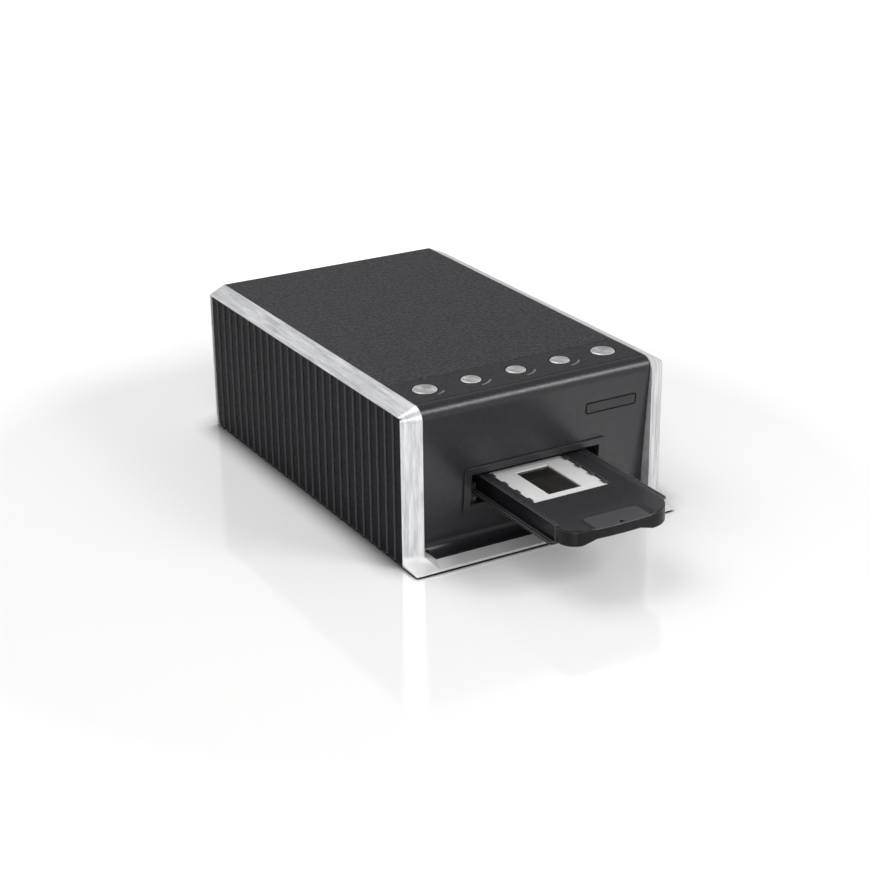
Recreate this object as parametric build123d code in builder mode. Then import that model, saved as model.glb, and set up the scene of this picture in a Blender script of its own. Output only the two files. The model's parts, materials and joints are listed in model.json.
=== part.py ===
"""Desktop scanner for slides in 50 mm mounts: a black case with ribbed sides and silver side frames,
five push buttons on top, and a slide holder that a rack drive draws through a slot in the front.

Millimetres. X runs across, +Y to the rear, +Z up. The origin is on the underside of the base pan, on
the middle line, halfway between the front lip and the rear face. The rubber feet reach lower."""

import os
from math import acos, atan, cos, hypot, pi, radians, sin, sqrt, tan

from build123d import *

os.makedirs("parts", exist_ok=True)

# ------------------------------------------------------------------ clearances
SEAM = 0.3              # open joint between two panels of the case
FIT = 0.1               # between a seated piece and its seat
RUN = 0.05              # radial, of a shaft in its bearing or a screw in its hole
PRESS = 0.02            # radial, of a gear or bush that is pressed on

# ------------------------------------------------------------------ case
WIDTH = 175.0
DEPTH = 270.0           # front lip to rear face
HEIGHT = 94.0           # base pan underside to the top edge of the side frames
SKIN = 2.4              # wall of the top, front and rear panels
COVER_DROP = 0.1        # the top covers lie this far below the frames' edges

BAND = 11.1             # width of the bevelled silver band
BAND_DROP = 4.8         # height lost over the band's width, along the top
BAND_BACK = 5.2         # distance lost over the band's width, along the front
BAND_R = 8.0            # front top corner at the band's inner edge
BAND_R_OUT = 3.0        # the same corner at its outer edge
REAR_BACK = 1.0         # the outer edge stands this far inside the rear face
FRAME_WALL = 2.5
LEDGE_IN = 4.4          # how far the frame's ledge reaches in under the covers
LEDGE_T = 2.5
FLANGE_W = 8.0          # inward flange at the foot of the frame, over the base pan
FLANGE_T = 2.5

RIB_COUNT = 27
RIB_STEP = 0.8          # each slat stands this far proud of the one in front of it
RIB_RIM = 0.5           # silver rim that shows round the side panel
RIB_REAR_RIM = 1.0
RIB_PANEL_SET = 0.3     # the slats' edges lie this far inside the rim
RIB_POCKET = 2.2        # depth of the pocket that the side panel lies in
PIN_R = 1.4             # pins that hold the side panel
PIN_L = 2.0
PIN_IN = 20.0           # pins from the panel's edges

# ------------------------------------------------------------------ foot of the front
FOOT_D = 11.0           # front lip back to the fold where the band turns forward
FOOT_FOLD_Z = 5.6       # the fold's height at the band's inner edge
FOOT_OUT_Z = 1.6        # and at its outer edge
FOOT_TIP_Z = 0.3        # front outer tip of the foot
LIP_Z = 1.4             # bright front lip
SILL_Z = 3.4            # rear edge of the sill's ledge
SILL_D = 9.0            # ledge, front to rear
STRIP_W = 6.4           # dark inner strip beside the foot
MITRE_IN = 3.6          # the mitre starts this far inside the band
STRIP_D = 23.0          # front lip back to the rear end of the strip
TONGUE_T = 1.5          # tongue of the sill under the front panel

# ------------------------------------------------------------------ front panel
FRONT_LEAN = 0.088      # the wall recedes this much for each millimetre down
FRONT_Y = 11.9          # front lip back to the wall's top corner
FRONT_R = 6.9           # rounded top edge
FRONT_R_IN = 4.0
SWEEP_R = 5.5           # concave corner between the wall and the short floor
FLOOR_RISE = 0.8        # the floor climbs this much up to the wall
FLOOR_T = 1.8
SEAM_Y = 19.6           # front lip back to the joint behind the rounded edge
SEAM_W = 0.8            # open joints before and behind the button panel

SLOT_W = 86.0
SLOT_BOTTOM = 26.5
SLOT_TOP = 46.5
RIM_W = 4.5             # surround beside the slot
RIM_H = 4.0             # surround over it
RIM_DROP = 3.0          # its legs end this far below the slot
RIM_PROUD = 1.2
RIM_R = 2.0             # upper corners of the surround
RIM_CHAMFER = 0.4
RIM_LIP = 0.8           # lip that lines the slot

BADGE_IN = 8.6          # badge's outer end from the end of the front panel
BADGE_Z = 70.6
BADGE_W = 35.0
BADGE_H = 7.0
BADGE_R = 1.5
BADGE_T = 0.6
BADGE_EDGE = 0.4
BADGE_POCKET = 0.45

# ------------------------------------------------------------------ top
BUTTON_PANEL_D = 30.9
COVER_RIB_H = 3.0
COVER_RIB_T = 1.6
COVER_RIB_COUNT = 4

# ------------------------------------------------------------------ buttons
BUTTON_END_IN = 16.3    # middle of an end button from the end of the button panel
BUTTON_BACK = 17.2      # front edge of the button panel back to the row of buttons
END_BUTTON_R = 7.2
BUTTON_R = 5.95
BUTTON_GAP = 0.6        # radial, in the hole
BUTTON_PROUD = 0.3
BUTTON_EDGE = 0.5
DISH = 0.6
BUTTON_FLANGE = 0.9     # the flange is this much wider than the hole
BUTTON_FLANGE_T = 1.3
BUTTON_TRAVEL = 0.8
STEM_R = 1.6
SWITCH_W = 6.0
SWITCH_H = 3.5
SWITCH_FLOOR = 1.0      # bottom of the switch under its bore
STEM_REST = 1.0         # space under the stem at rest
BOARD_T = 1.6
BUTTON_BOARD_OVER = 20.4  # the board's width over that of the row of buttons
BUTTON_BOARD_D = 20.0
BOSS_R = 3.0

# ------------------------------------------------------------------ base and rear
BASE_T = 2.0
FOOT_H = 1.0            # rubber foot below the base pan
FOOT_R = 7.0
FOOT_SEAT = 0.6
FOOT_IN_X = 19.5        # foot centre from the body's side
FOOT_FRONT_Y = 37.0     # and from the lip
FOOT_REAR_Y = 17.0      # and from the rear face
SCREW_R = 1.5
SCREW_HEAD_R = 2.8
SCREW_HEAD_H = 1.6
SCREW_L = 6.0           # pan head screws
CASE_SCREW_L = 8.0      # countersunk screws of the case
CASE_SCREW_ROWS = 3
CASE_SCREW_IN = 20.0    # first and last row from the ends of the base pan
PEG_R = 2.0
PEG_H = 1.4
PEG_IN = 8.0            # pegs from the chassis' sides
PEG_FRONT = -30.0
PEG_REAR = 10.0         # rear pegs from the chassis' end

# ------------------------------------------------------------------ slide holder
MOUNT_W = 50.0          # standard slide mount, square
MOUNT_T = 2.0
MOUNT_WINDOW_L = 35.3
MOUNT_WINDOW_W = 22.0
FILM_T = 0.2
POCKET_GAP = 0.3        # round the mount
POCKET_PITCH = 57.0
POCKET_COUNT = 4
POCKET_X = -3.5         # the pockets lie a little left of the middle
POCKET_FLOOR = 5.9      # deck underside to the floor of a pocket
WINDOW_L = 38.0         # along the holder
WINDOW_W = 26.0
TAB_PITCH = 13.0
TAB_W = 5.0
TAB_T = 0.5
TAB_OVER = 1.5
TAB_R = 0.7
TAB_COUNT = 4

HOLDER_Z = 31.4         # underside of the holder
HOLDER_H = 11.1
HOLDER_HALF = 35.2      # middle to the outside of the side walls
HOLDER_WALL = 2.0
HOLDER_FLOOR = 2.0
HOLDER_FRONT = -192.8   # front end of the side walls, in the drawn position
HOLDER_L = 256.8
FIRST_POCKET = 55.4     # front end of the side walls to the first pocket's middle
WING_W = 3.0            # flange that runs in the guide rails
WING_T = 0.8
WING_LIP_H = 1.4
WING_LIP_T = 0.5
WING_R = 2.2            # front corner of the flange
RIDGE_W = 2.2           # second flange, along the top of the right side wall
RIDGE_H = 1.6
RIDGE_T = 0.8
GRIP_D = 11.1
GRIP_BOW = 3.0
GRIP_R = 10.0           # front corner on the left
GRIP_R_RIGHT = 16.0     # and on the right
GRIP_SIDE = 0.2         # the grip is this much narrower than the walls
GRIP_EDGE = 0.7
DECK_EDGE = 0.4         # chamfer of the deck along the side walls
NOTCH_W = 45.0          # under the grip, at its foot
NOTCH_TOP_W = 28.0
NOTCH_D = 8.0
NOTCH_H = 2.5
NOTCH_R = 3.0
SCOOP_W = 42.4          # finger scoop, open at the front
SCOOP_L = 19.0
SCOOP_SLOPE = 4.0       # width of its sloping sides
SCOOP_D = 1.1
SCOOP_R = 7.0
ARROW = 2.6             # sunk triangle in the scoop that points into the slot
ARROW_D = 0.25

# ------------------------------------------------------------------ guide rails and chassis
RAIL_OUT = 44.0         # middle to the outside of a rail
RAIL_FRONT = -112.0
RAIL_REAR = 112.0
RAIL_UNDER = 2.9        # rail below the holder's underside
RAIL_H = 8.5
WING_GAP = 0.4          # round the flange in its groove
CHASSIS_T = 1.5
CHASSIS_FRONT = -107.0
CHASSIS_REAR = 114.0
RAIL_TAB_W = 6.0
RAIL_TAB_L = 12.0
RAIL_TAB_T = 2.5
RAIL_TAB_Y = -20.0      # first of the tabs that the rails are screwed to
RAIL_TAB_PITCH = 60.0
RAIL_TAB_COUNT = 3

# ------------------------------------------------------------------ rack drive
RACK_MODULE = 1.0
GEAR_MODULE = 0.6
PRESSURE = 20.0         # degrees
TIP = 0.8               # tooth above the pitch line, in modules
ROOT = 1.1              # and below it
BACKLASH = 0.16         # taken off each tooth's width
PINION_TEETH = 14
DRIVE_TEETH = 40
SMALL_TEETH = 14
LARGE_TEETH = 36
MOTOR_TEETH = 12
SCAN_Y = -92.0          # scan line, and the pinion under it
RACK_X = -30.0
RACK_W = 5.0
PINION_W = 6.0
SHAFT_R = 2.0
GEAR_W = 4.0
LARGE_GEAR_W = 3.5
GEAR_GAP = 1.0          # along the shaft, between gears and plates
TRAIN_ANGLE = 30.0      # drive shaft to reduction gear, above +Y
MOTOR_ANGLE = -35.0     # reduction gear to motor
BRACKET_T = 1.5
BRACKET_X = 57.5        # middle to the inner face of the gear bracket
BRACKET_H = 42.0
GEAR_PIN_R = 1.5
HUB_R = 5.0
MOTOR_R = 17.5
MOTOR_CLEAR = 3.8       # motor's end to the side frame's wall
MOTOR_FLANGE_T = 1.5
MOTOR_SHAFT_R = 1.2
MOTOR_SHAFT_BORE = 8.0
MOTOR_EAR = 21.0        # motor axis to a mounting hole
MOTOR_EAR_R = 4.0
MOTOR_EAR_ANGLE = 40.0
BUSH_R = 3.5
BUSH_FLANGE_R = 4.6
BUSH_FLANGE_T = 0.8
SUPPORT_X = 25.5        # middle to the outer face of the inner shaft support
SUPPORT_W = 14.0

# ------------------------------------------------------------------ lamp and optics
LAMP_W = 44.0
LAMP_D = 14.0
LAMP_H = 5.0
LAMP_WALL = 1.2
LAMP_CLEAR = 1.4        # lamp over the holder
LAMP_BOARD_T = 1.0
DIFFUSER_T = 1.0
BRIDGE_T = 1.5
BRIDGE_D = 18.0
AXIS_Z = 14.0           # optical axis over the base
MIRROR_W = 30.0
MIRROR_L = 18.0
MIRROR_T = 1.5
MOUNT_BLOCK_L = 20.0
LENS_Y = -48.0
LENS_R = 6.2
LENS_T = 3.0
LENS_BULGE = 0.8        # each face of the lens
BARREL_R = 8.0
BARREL_L = 22.0
STOP_R = 4.0            # bore behind the lens
LENS_MOUNT_W = 24.0
LENS_MOUNT_L = 10.0
SENSOR_Y = -8.0
SENSOR_BOARD_W = 40.0
SENSOR_BOARD_H = 24.0
SENSOR_W = 30.0
SENSOR_H = 8.0
SENSOR_T = 2.2

# ------------------------------------------------------------------ main board and ports
MAIN_BOARD_D = 86.0
MAIN_BOARD_GAP = 1.8    # beside the chassis
MAIN_BOARD_END = 8.0    # board edge to the rear panel
STANDOFF_H = 5.0
STANDOFF_IN = 4.0       # screw hole from the board's edges
CHIP_T = 1.6
INLET_W = 9.0
INLET_H = 11.0
INLET_L = 14.0
INLET_BORE_R = 3.1
INLET_BORE_L = 9.0
INLET_PIN_R = 1.0
PORT_W = 12.0
PORT_H = 10.8
PORT_L = 16.0
PORT_MOUTH_W = 8.6
PORT_MOUTH_H = 7.8
PORT_MOUTH_L = 9.0
PORT_TONGUE_W = 5.6
PORT_TONGUE_H = 3.2
PORT_IN = 8.3           # middle of the square port from the end of the rear panel
PORT_PITCH = 16.0
PORT_CLEAR = 0.3        # round the ports in the rear panel

# ------------------------------------------------------------------ places worked out from the sizes
half = WIDTH / 2
lip = -DEPTH / 2
rear = DEPTH / 2
band_in = half - BAND
cover_top = HEIGHT - COVER_DROP
cover_under = cover_top - SKIN
panel_half = band_in - SEAM
fold = lip + FOOT_D
outer_front = fold + BAND_BACK
outer_top = HEIGHT - BAND_DROP
strip_in = band_in - STRIP_W
strip_back = lip + STRIP_D
seam_y = lip + SEAM_Y
lean = atan(FRONT_LEAN)
pocket_face = half - RIB_POCKET
pan_half = pocket_face - FRAME_WALL - SEAM
rear_inner = rear - 0.2 * SEAM - SKIN
pan_front = strip_back + FIT
pan_rear = rear_inner - FIT


def wall_y(z):
    """Y of the front panel's outer face at a height."""
    return lip + FRONT_Y + FRONT_LEAN * (cover_top - z)


def plane_below(part, a, b, c):
    """Keep what lies under the plane through three points."""
    normal = (Vector(*b) - Vector(*a)).cross(Vector(*c) - Vector(*a))
    if normal.Z < 0:
        normal = normal * -1
    return split(part, bisect_by=Plane(origin=a, z_dir=normal), keep=Keep.BOTTOM, mode=Mode.PRIVATE)


# ================================================================== side frames
pin_spots = [
    (y, z)
    for y in (outer_front + PIN_IN, (outer_front + rear) / 2, rear - PIN_IN)
    for z in (PIN_IN, outer_top - PIN_IN)
]
flange_x = pocket_face - FRAME_WALL - FLANGE_W / 2
flange_bottom = BASE_T + FIT
screw_front = pan_front + CASE_SCREW_IN
screw_pitch = (pan_rear - CASE_SCREW_IN - screw_front) / (CASE_SCREW_ROWS - 1)
case_screw_ys = [screw_front + screw_pitch * k for k in range(CASE_SCREW_ROWS)]

foot_fold_in = (-band_in, fold, FOOT_FOLD_Z)
foot_lip_in = (MITRE_IN - band_in, lip, LIP_Z)
sill_corner = (-strip_in, lip + SILL_D, SILL_Z)

with BuildPart() as foot_block:
    # the foot between the fold and the lip, under a slightly twisted top
    with BuildSketch(Plane(origin=(-half, outer_front, 0), x_dir=(BAND, -BAND_BACK, 0),
                           z_dir=(-BAND_BACK, -BAND, 0))):
        with BuildLine():
            Polyline((0, 0), (hypot(BAND, BAND_BACK), 0),
                     (hypot(BAND, BAND_BACK), FOOT_FOLD_Z), (0, FOOT_OUT_Z), close=True)
        make_face()
    with BuildSketch(Plane(origin=(-half, lip, 0), x_dir=(1, 0, 0), z_dir=(0, -1, 0))):
        with BuildLine():
            Polyline((0, 0), (BAND + MITRE_IN, 0), (BAND + MITRE_IN, LIP_Z), (0, FOOT_TIP_Z), close=True)
        make_face()
    loft(ruled=True)

with BuildPart() as strip_block:
    # the darker strip beside it, which slopes in and then down to the mitre
    with BuildSketch():
        with BuildLine():
            Polyline((-band_in, strip_back), foot_fold_in[:2], foot_lip_in[:2], sill_corner[:2],
                     (-strip_in, strip_back), close=True)
        make_face()
    extrude(amount=FOOT_FOLD_Z)
strip_solid = plane_below(strip_block.part, foot_fold_in, foot_lip_in, sill_corner)
strip_solid = plane_below(strip_solid, foot_fold_in, sill_corner, (-strip_in, strip_back, SILL_Z))

with BuildPart() as left_side_frame:
    with BuildSketch(Plane.YZ.offset(-half)):
        with BuildLine():
            FilletPolyline((rear - REAR_BACK, 0), (rear - REAR_BACK, outer_top), (outer_front, outer_top),
                           (outer_front, 0), radius=[0, 0, BAND_R_OUT, 0], close=True)
        make_face()
    with BuildSketch(Plane.YZ.offset(-band_in)):
        with BuildLine():
            FilletPolyline((rear, 0), (rear, HEIGHT), (fold, HEIGHT), (fold, 0),
                           radius=[0, 0, BAND_R, 0], close=True)
        make_face()
    loft(ruled=True)
    # hollow towards the middle, open below for the base pan
    with BuildSketch(Plane.YZ.offset(-band_in)):
        with BuildLine():
            FilletPolyline((rear - FRAME_WALL, 0), (rear - FRAME_WALL, outer_top - FRAME_WALL),
                           (outer_front + FRAME_WALL, outer_top - FRAME_WALL), (outer_front + FRAME_WALL, 0),
                           radius=[0, 0, BAND_R_OUT, 0], close=True)
        make_face()
    extrude(amount=-(pocket_face - FRAME_WALL - band_in), mode=Mode.SUBTRACT)
    # ledge under the top covers, and flange over the base pan
    ledge_front = seam_y + SEAM_W
    with BuildSketch(Plane.XY.offset(cover_under - LEDGE_T)):
        with Locations((-band_in - FRAME_WALL / 2 + LEDGE_IN / 2, (ledge_front + rear_inner) / 2)):
            Rectangle(LEDGE_IN + FRAME_WALL, rear_inner - ledge_front - SEAM)
    extrude(amount=LEDGE_T - FIT)
    with BuildSketch(Plane.XY.offset(flange_bottom)):
        with Locations((-flange_x, (outer_front + rear) / 2)):
            Rectangle(FLANGE_W, rear - outer_front - 2 * FRAME_WALL)
    extrude(amount=FLANGE_T)
    # foot
    add(foot_block.part)
    add(strip_solid)
    # pocket for the ribbed panel, and its pin holes
    with BuildSketch(Plane.YZ.offset(-half)):
        with Locations(((outer_front + RIB_RIM + rear - REAR_BACK - RIB_REAR_RIM) / 2,
                        (outer_top - RIB_RIM) / 2)):
            Rectangle(rear - REAR_BACK - RIB_REAR_RIM - outer_front - RIB_RIM, outer_top - RIB_RIM)
    extrude(amount=RIB_POCKET, mode=Mode.SUBTRACT)
    with BuildSketch(Plane.YZ.offset(-pocket_face)):
        with Locations(*pin_spots):
            Circle(PIN_R + FIT)
    extrude(amount=PIN_L + FIT, mode=Mode.SUBTRACT)
    with BuildSketch(Plane.XY.offset(flange_bottom)):
        with Locations(*[(-flange_x, y) for y in case_screw_ys]):
            Circle(SCREW_R + RUN)
    extrude(amount=FLANGE_T, mode=Mode.SUBTRACT)

with BuildPart() as right_side_frame:
    mirror(left_side_frame.part, about=Plane.YZ)

# ================================================================== ribbed side panels
panel_front = outer_front + RIB_RIM + FIT
panel_rear = rear - REAR_BACK - RIB_REAR_RIM - FIT
panel_top = outer_top - RIB_RIM - FIT
rib_pitch = (panel_rear - panel_front) / RIB_COUNT
slat_out = -(half - RIB_PANEL_SET)

with BuildPart() as left_rib_panel:
    with BuildSketch():
        with BuildLine():
            slats = []
            for k in range(RIB_COUNT):
                slats.append((slat_out, panel_front + k * rib_pitch))
                slats.append((slat_out + RIB_STEP, panel_front + (k + 1) * rib_pitch))
            Polyline((-pocket_face, panel_front), *slats, (-pocket_face, panel_rear), close=True)
        make_face()
    extrude(amount=panel_top)
    with BuildSketch(Plane.YZ.offset(-pocket_face)):
        with Locations(*pin_spots):
            Circle(PIN_R)
    extrude(amount=PIN_L)

with BuildPart() as right_rib_panel:
    mirror(left_rib_panel.part, about=Plane.YZ)

# ================================================================== front sill
tongue_half = strip_in - FIT

with BuildPart() as front_sill:
    with BuildSketch(Plane.YZ.offset(-band_in)):
        with BuildLine():
            Polyline((lip, 0), (lip, LIP_Z), (lip + SILL_D, SILL_Z), (lip + SILL_D, TONGUE_T),
                     (strip_back, TONGUE_T), (strip_back, 0), close=True)
        make_face()
    extrude(amount=2 * band_in)
    # mitred ends against the two frames
    with BuildSketch():
        with BuildLine():
            Polyline((-tongue_half, strip_back), (-tongue_half, lip + SILL_D),
                     (FIT - band_in + MITRE_IN, lip), (band_in - MITRE_IN - FIT, lip),
                     (tongue_half, lip + SILL_D), (tongue_half, strip_back), close=True)
        make_face()
    extrude(amount=FOOT_FOLD_Z, mode=Mode.INTERSECT)

# ================================================================== front panel
face = Plane(origin=(0, wall_y(0), 0), x_dir=(1, 0, 0), z_dir=(0, -cos(lean), -sin(lean)))
floor_front = lip + SILL_D + FIT
floor_back_z = SILL_Z + FLOOR_RISE
floor_under = SILL_Z - FLOOR_T


def up(z):
    """Distance up the leaning face to a height."""
    return z / cos(lean)


badge_x = panel_half - BADGE_IN - BADGE_W / 2
slot_middle = (SLOT_TOP + SLOT_BOTTOM) / 2
slot_h = SLOT_TOP - SLOT_BOTTOM

with BuildPart() as front_panel:
    with BuildSketch(Plane.YZ.offset(-panel_half)):
        with BuildLine():
            FilletPolyline((seam_y, cover_top), (wall_y(cover_top), cover_top),
                           (wall_y(floor_back_z), floor_back_z), (floor_front, SILL_Z),
                           (floor_front, floor_under), (wall_y(floor_under) + SKIN, floor_under),
                           (wall_y(cover_under) + SKIN, cover_under), (seam_y, cover_under),
                           radius=[0, FRONT_R, SWEEP_R, 0, 0, 0, FRONT_R_IN, 0], close=True)
        make_face()
    extrude(amount=2 * panel_half)
    # room for the frames' strips at the foot
    with BuildSketch(Plane.XY):
        with Locations((-strip_in - STRIP_W / 2 + FIT, (lip + rear) / 2),
                       (strip_in + STRIP_W / 2 - FIT, (lip + rear) / 2)):
            Rectangle(STRIP_W, DEPTH)
    extrude(amount=FOOT_FOLD_Z + FIT, mode=Mode.SUBTRACT)
    # slot with room for the lip of its surround on three sides
    with BuildSketch(face):
        with Locations((0, up(slot_middle + (RIM_LIP + FIT) / 2))):
            Rectangle(SLOT_W + 2 * (RIM_LIP + FIT), up(slot_h + RIM_LIP + FIT))
    extrude(amount=-2 * SKIN, mode=Mode.SUBTRACT)
    with BuildSketch(face):
        with Locations((badge_x, up(BADGE_Z))):
            RectangleRounded(BADGE_W + 2 * FIT, BADGE_H + 2 * FIT, BADGE_R + FIT)
    extrude(amount=-BADGE_POCKET, mode=Mode.SUBTRACT)

with BuildPart() as slot_surround:
    with BuildSketch(face):
        with Locations((0, up((SLOT_TOP + RIM_H + SLOT_BOTTOM - RIM_DROP) / 2))):
            Rectangle(SLOT_W + 2 * RIM_W, up(slot_h + RIM_H + RIM_DROP))
        fillet(vertices().group_by(Axis.Y)[-1], radius=RIM_R)
    extrude(amount=RIM_PROUD)
    chamfer(faces().sort_by(Axis.Y)[0].edges().sort_by(Axis.Z)[1:], length=RIM_CHAMFER)
    with BuildSketch(face):
        with Locations((0, up(slot_middle + RIM_LIP / 2))):
            Rectangle(SLOT_W + 2 * RIM_LIP, up(slot_h + RIM_LIP))
    extrude(amount=-SKIN)
    with BuildSketch(face.offset(RIM_PROUD)):
        with Locations((0, up((SLOT_TOP + SLOT_BOTTOM - RIM_DROP) / 2))):
            Rectangle(SLOT_W, up(slot_h + RIM_DROP))
    extrude(amount=-2 * SKIN, mode=Mode.SUBTRACT)

with BuildPart() as badge_plate:
    with BuildSketch(face.offset(-BADGE_POCKET)):
        with Locations((badge_x, up(BADGE_Z))):
            RectangleRounded(BADGE_W, BADGE_H, BADGE_R)
    extrude(amount=BADGE_T)
    with BuildSketch(face.offset(BADGE_T - BADGE_POCKET)):
        with Locations((badge_x, up(BADGE_Z))):
            RectangleRounded(BADGE_W - 2 * BADGE_EDGE, BADGE_H - 2 * BADGE_EDGE, BADGE_R - BADGE_EDGE)
    extrude(amount=-BADGE_T / 4, mode=Mode.SUBTRACT)

# ================================================================== buttons and their board
row_y = seam_y + SEAM_W + BUTTON_BACK
button_pitch = (panel_half - BUTTON_END_IN) / 2
# the flange stops just over the switches when a button is pressed
switch_top = cover_under - SEAM - BUTTON_FLANGE_T - BUTTON_TRAVEL - FIT
stem_bottom = switch_top - SWITCH_H + SWITCH_FLOOR + STEM_REST
board_top = stem_bottom - STEM_REST - SWITCH_FLOOR
boss_xs = [button_pitch * (k - 1.5) for k in range(4)]
button_panel_front = seam_y + SEAM_W
button_panel_rear = button_panel_front + BUTTON_PANEL_D


def button(x, radius, dish):
    """A round push button with its retaining flange and stem, dished or flat on top."""
    top = cover_top + BUTTON_PROUD
    flange_top = cover_under - SEAM
    with BuildPart() as body:
        with BuildSketch(Plane(origin=(x, row_y, 0), x_dir=(1, 0, 0), z_dir=(0, -1, 0))):
            with BuildLine():
                Polyline((0, top), (0, stem_bottom), (STEM_R, stem_bottom),
                         (STEM_R, flange_top - BUTTON_FLANGE_T),
                         (radius + BUTTON_GAP + BUTTON_FLANGE, flange_top - BUTTON_FLANGE_T),
                         (radius + BUTTON_GAP + BUTTON_FLANGE, flange_top), (radius, flange_top),
                         (radius, top - BUTTON_EDGE), (radius - BUTTON_EDGE, top), close=True)
            make_face()
        revolve(axis=Axis((x, row_y, 0), (0, 0, 1)))
        if dish:
            rim = radius - 2 * BUTTON_EDGE
            ball = (rim ** 2 + DISH ** 2) / (2 * DISH)
            with Locations((x, row_y, top + ball - DISH)):
                Sphere(ball, mode=Mode.SUBTRACT)
    return body


left_end_button = button(-2 * button_pitch, END_BUTTON_R, True)
left_button = button(-button_pitch, BUTTON_R, False)
middle_button = button(0, BUTTON_R, False)
right_button = button(button_pitch, BUTTON_R, False)
right_end_button = button(2 * button_pitch, END_BUTTON_R, True)

with BuildPart() as button_panel:
    with BuildSketch(Plane.XY.offset(cover_under)):
        with Locations((0, (button_panel_front + button_panel_rear) / 2)):
            Rectangle(2 * panel_half, BUTTON_PANEL_D)
        with Locations((-2 * button_pitch, row_y), (2 * button_pitch, row_y)):
            Circle(END_BUTTON_R + BUTTON_GAP, mode=Mode.SUBTRACT)
        with Locations((-button_pitch, row_y), (0, row_y), (button_pitch, row_y)):
            Circle(BUTTON_R + BUTTON_GAP, mode=Mode.SUBTRACT)
    extrude(amount=SKIN)
    # bosses that carry the button board
    with BuildSketch(Plane.XY.offset(board_top)):
        with Locations(*[(x, row_y) for x in boss_xs]):
            Circle(BOSS_R)
    extrude(amount=cover_under - board_top)
    with BuildSketch(Plane.XY.offset(board_top)):
        with Locations(*[(x, row_y) for x in boss_xs]):
            Circle(SCREW_R + RUN)
    extrude(amount=SCREW_L - BOARD_T + FIT, mode=Mode.SUBTRACT)

with BuildPart() as button_board:
    with BuildSketch(Plane.XY.offset(board_top - BOARD_T)):
        with Locations((0, row_y)):
            Rectangle(4 * button_pitch + BUTTON_BOARD_OVER, BUTTON_BOARD_D)
        with Locations(*[(x, row_y) for x in boss_xs]):
            Circle(SCREW_R + RUN, mode=Mode.SUBTRACT)
    extrude(amount=BOARD_T)

with BuildPart() as button_switches:
    switch_spots = [(button_pitch * k, row_y) for k in range(-2, 3)]
    with BuildSketch(Plane.XY.offset(board_top)):
        with Locations(*switch_spots):
            Rectangle(SWITCH_W, SWITCH_W)
    extrude(amount=SWITCH_H)
    with BuildSketch(Plane.XY.offset(board_top + SWITCH_FLOOR)):
        with Locations(*switch_spots):
            Circle(STEM_R + 4 * RUN)
    extrude(amount=SWITCH_H, mode=Mode.SUBTRACT)

# ================================================================== top cover and rear panel
cover_front = button_panel_rear + SEAM_W
cover_rear = rear - 0.2 * SEAM

with BuildPart() as top_cover:
    with BuildSketch(Plane.XY.offset(cover_under)):
        with Locations((0, (cover_front + cover_rear) / 2)):
            Rectangle(2 * panel_half, cover_rear - cover_front)
    extrude(amount=SKIN)
    chamfer(faces().sort_by(Axis.Z)[-1].edges(), length=0.1 * SKIN)
    # stiffening ribs on the underside
    with BuildSketch(Plane.XY.offset(cover_under - COVER_RIB_H)):
        with Locations((0, (cover_front + rear_inner) / 2)):
            with GridLocations(0, (rear_inner - cover_front) / COVER_RIB_COUNT, 1, COVER_RIB_COUNT):
                Rectangle(2 * (band_in - LEDGE_IN - SEAM), COVER_RIB_T)
    extrude(amount=COVER_RIB_H)

board_left = RAIL_OUT + MAIN_BOARD_GAP
port_x = panel_half - PORT_IN
inlet_x = port_x - PORT_PITCH
board_w = port_x + PORT_W / 2 - board_left
board_x = board_left + board_w / 2
board_z = BASE_T + STANDOFF_H
board_face = board_z + BOARD_T
main_rear = rear_inner - MAIN_BOARD_END
port_rear = rear - SKIN / 2

with BuildPart() as rear_panel:
    with BuildSketch(Plane.XZ.offset(-rear_inner)):
        with Locations((0, (cover_under - FIT) / 2)):
            Rectangle(2 * panel_half, cover_under - FIT)
        with Locations((inlet_x, board_face + INLET_H / 2)):
            Rectangle(INLET_W + 2 * PORT_CLEAR, INLET_H + 2 * PORT_CLEAR, mode=Mode.SUBTRACT)
        with Locations((port_x, board_face + PORT_H / 2)):
            Rectangle(PORT_W + 2 * PORT_CLEAR, PORT_H + 2 * PORT_CLEAR, mode=Mode.SUBTRACT)
    extrude(amount=-SKIN)

# ================================================================== base pan, feet and case screws
foot_spots = [(x, y) for x in (FOOT_IN_X - half, half - FOOT_IN_X)
              for y in (lip + FOOT_FRONT_Y, rear - FOOT_REAR_Y)]
case_screw_spots = [(x, y) for x in (-flange_x, flange_x) for y in case_screw_ys]
peg_spots = [(x, y) for x in (PEG_IN - RAIL_OUT, RAIL_OUT - PEG_IN)
             for y in (PEG_FRONT, CHASSIS_REAR - PEG_REAR)]
standoff_spots = [(x, y) for x in (board_left + STANDOFF_IN, board_left + board_w - STANDOFF_IN)
                  for y in (main_rear - MAIN_BOARD_D + STANDOFF_IN, main_rear - PORT_L - STANDOFF_IN)]
sink = SCREW_HEAD_R - SCREW_R

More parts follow.
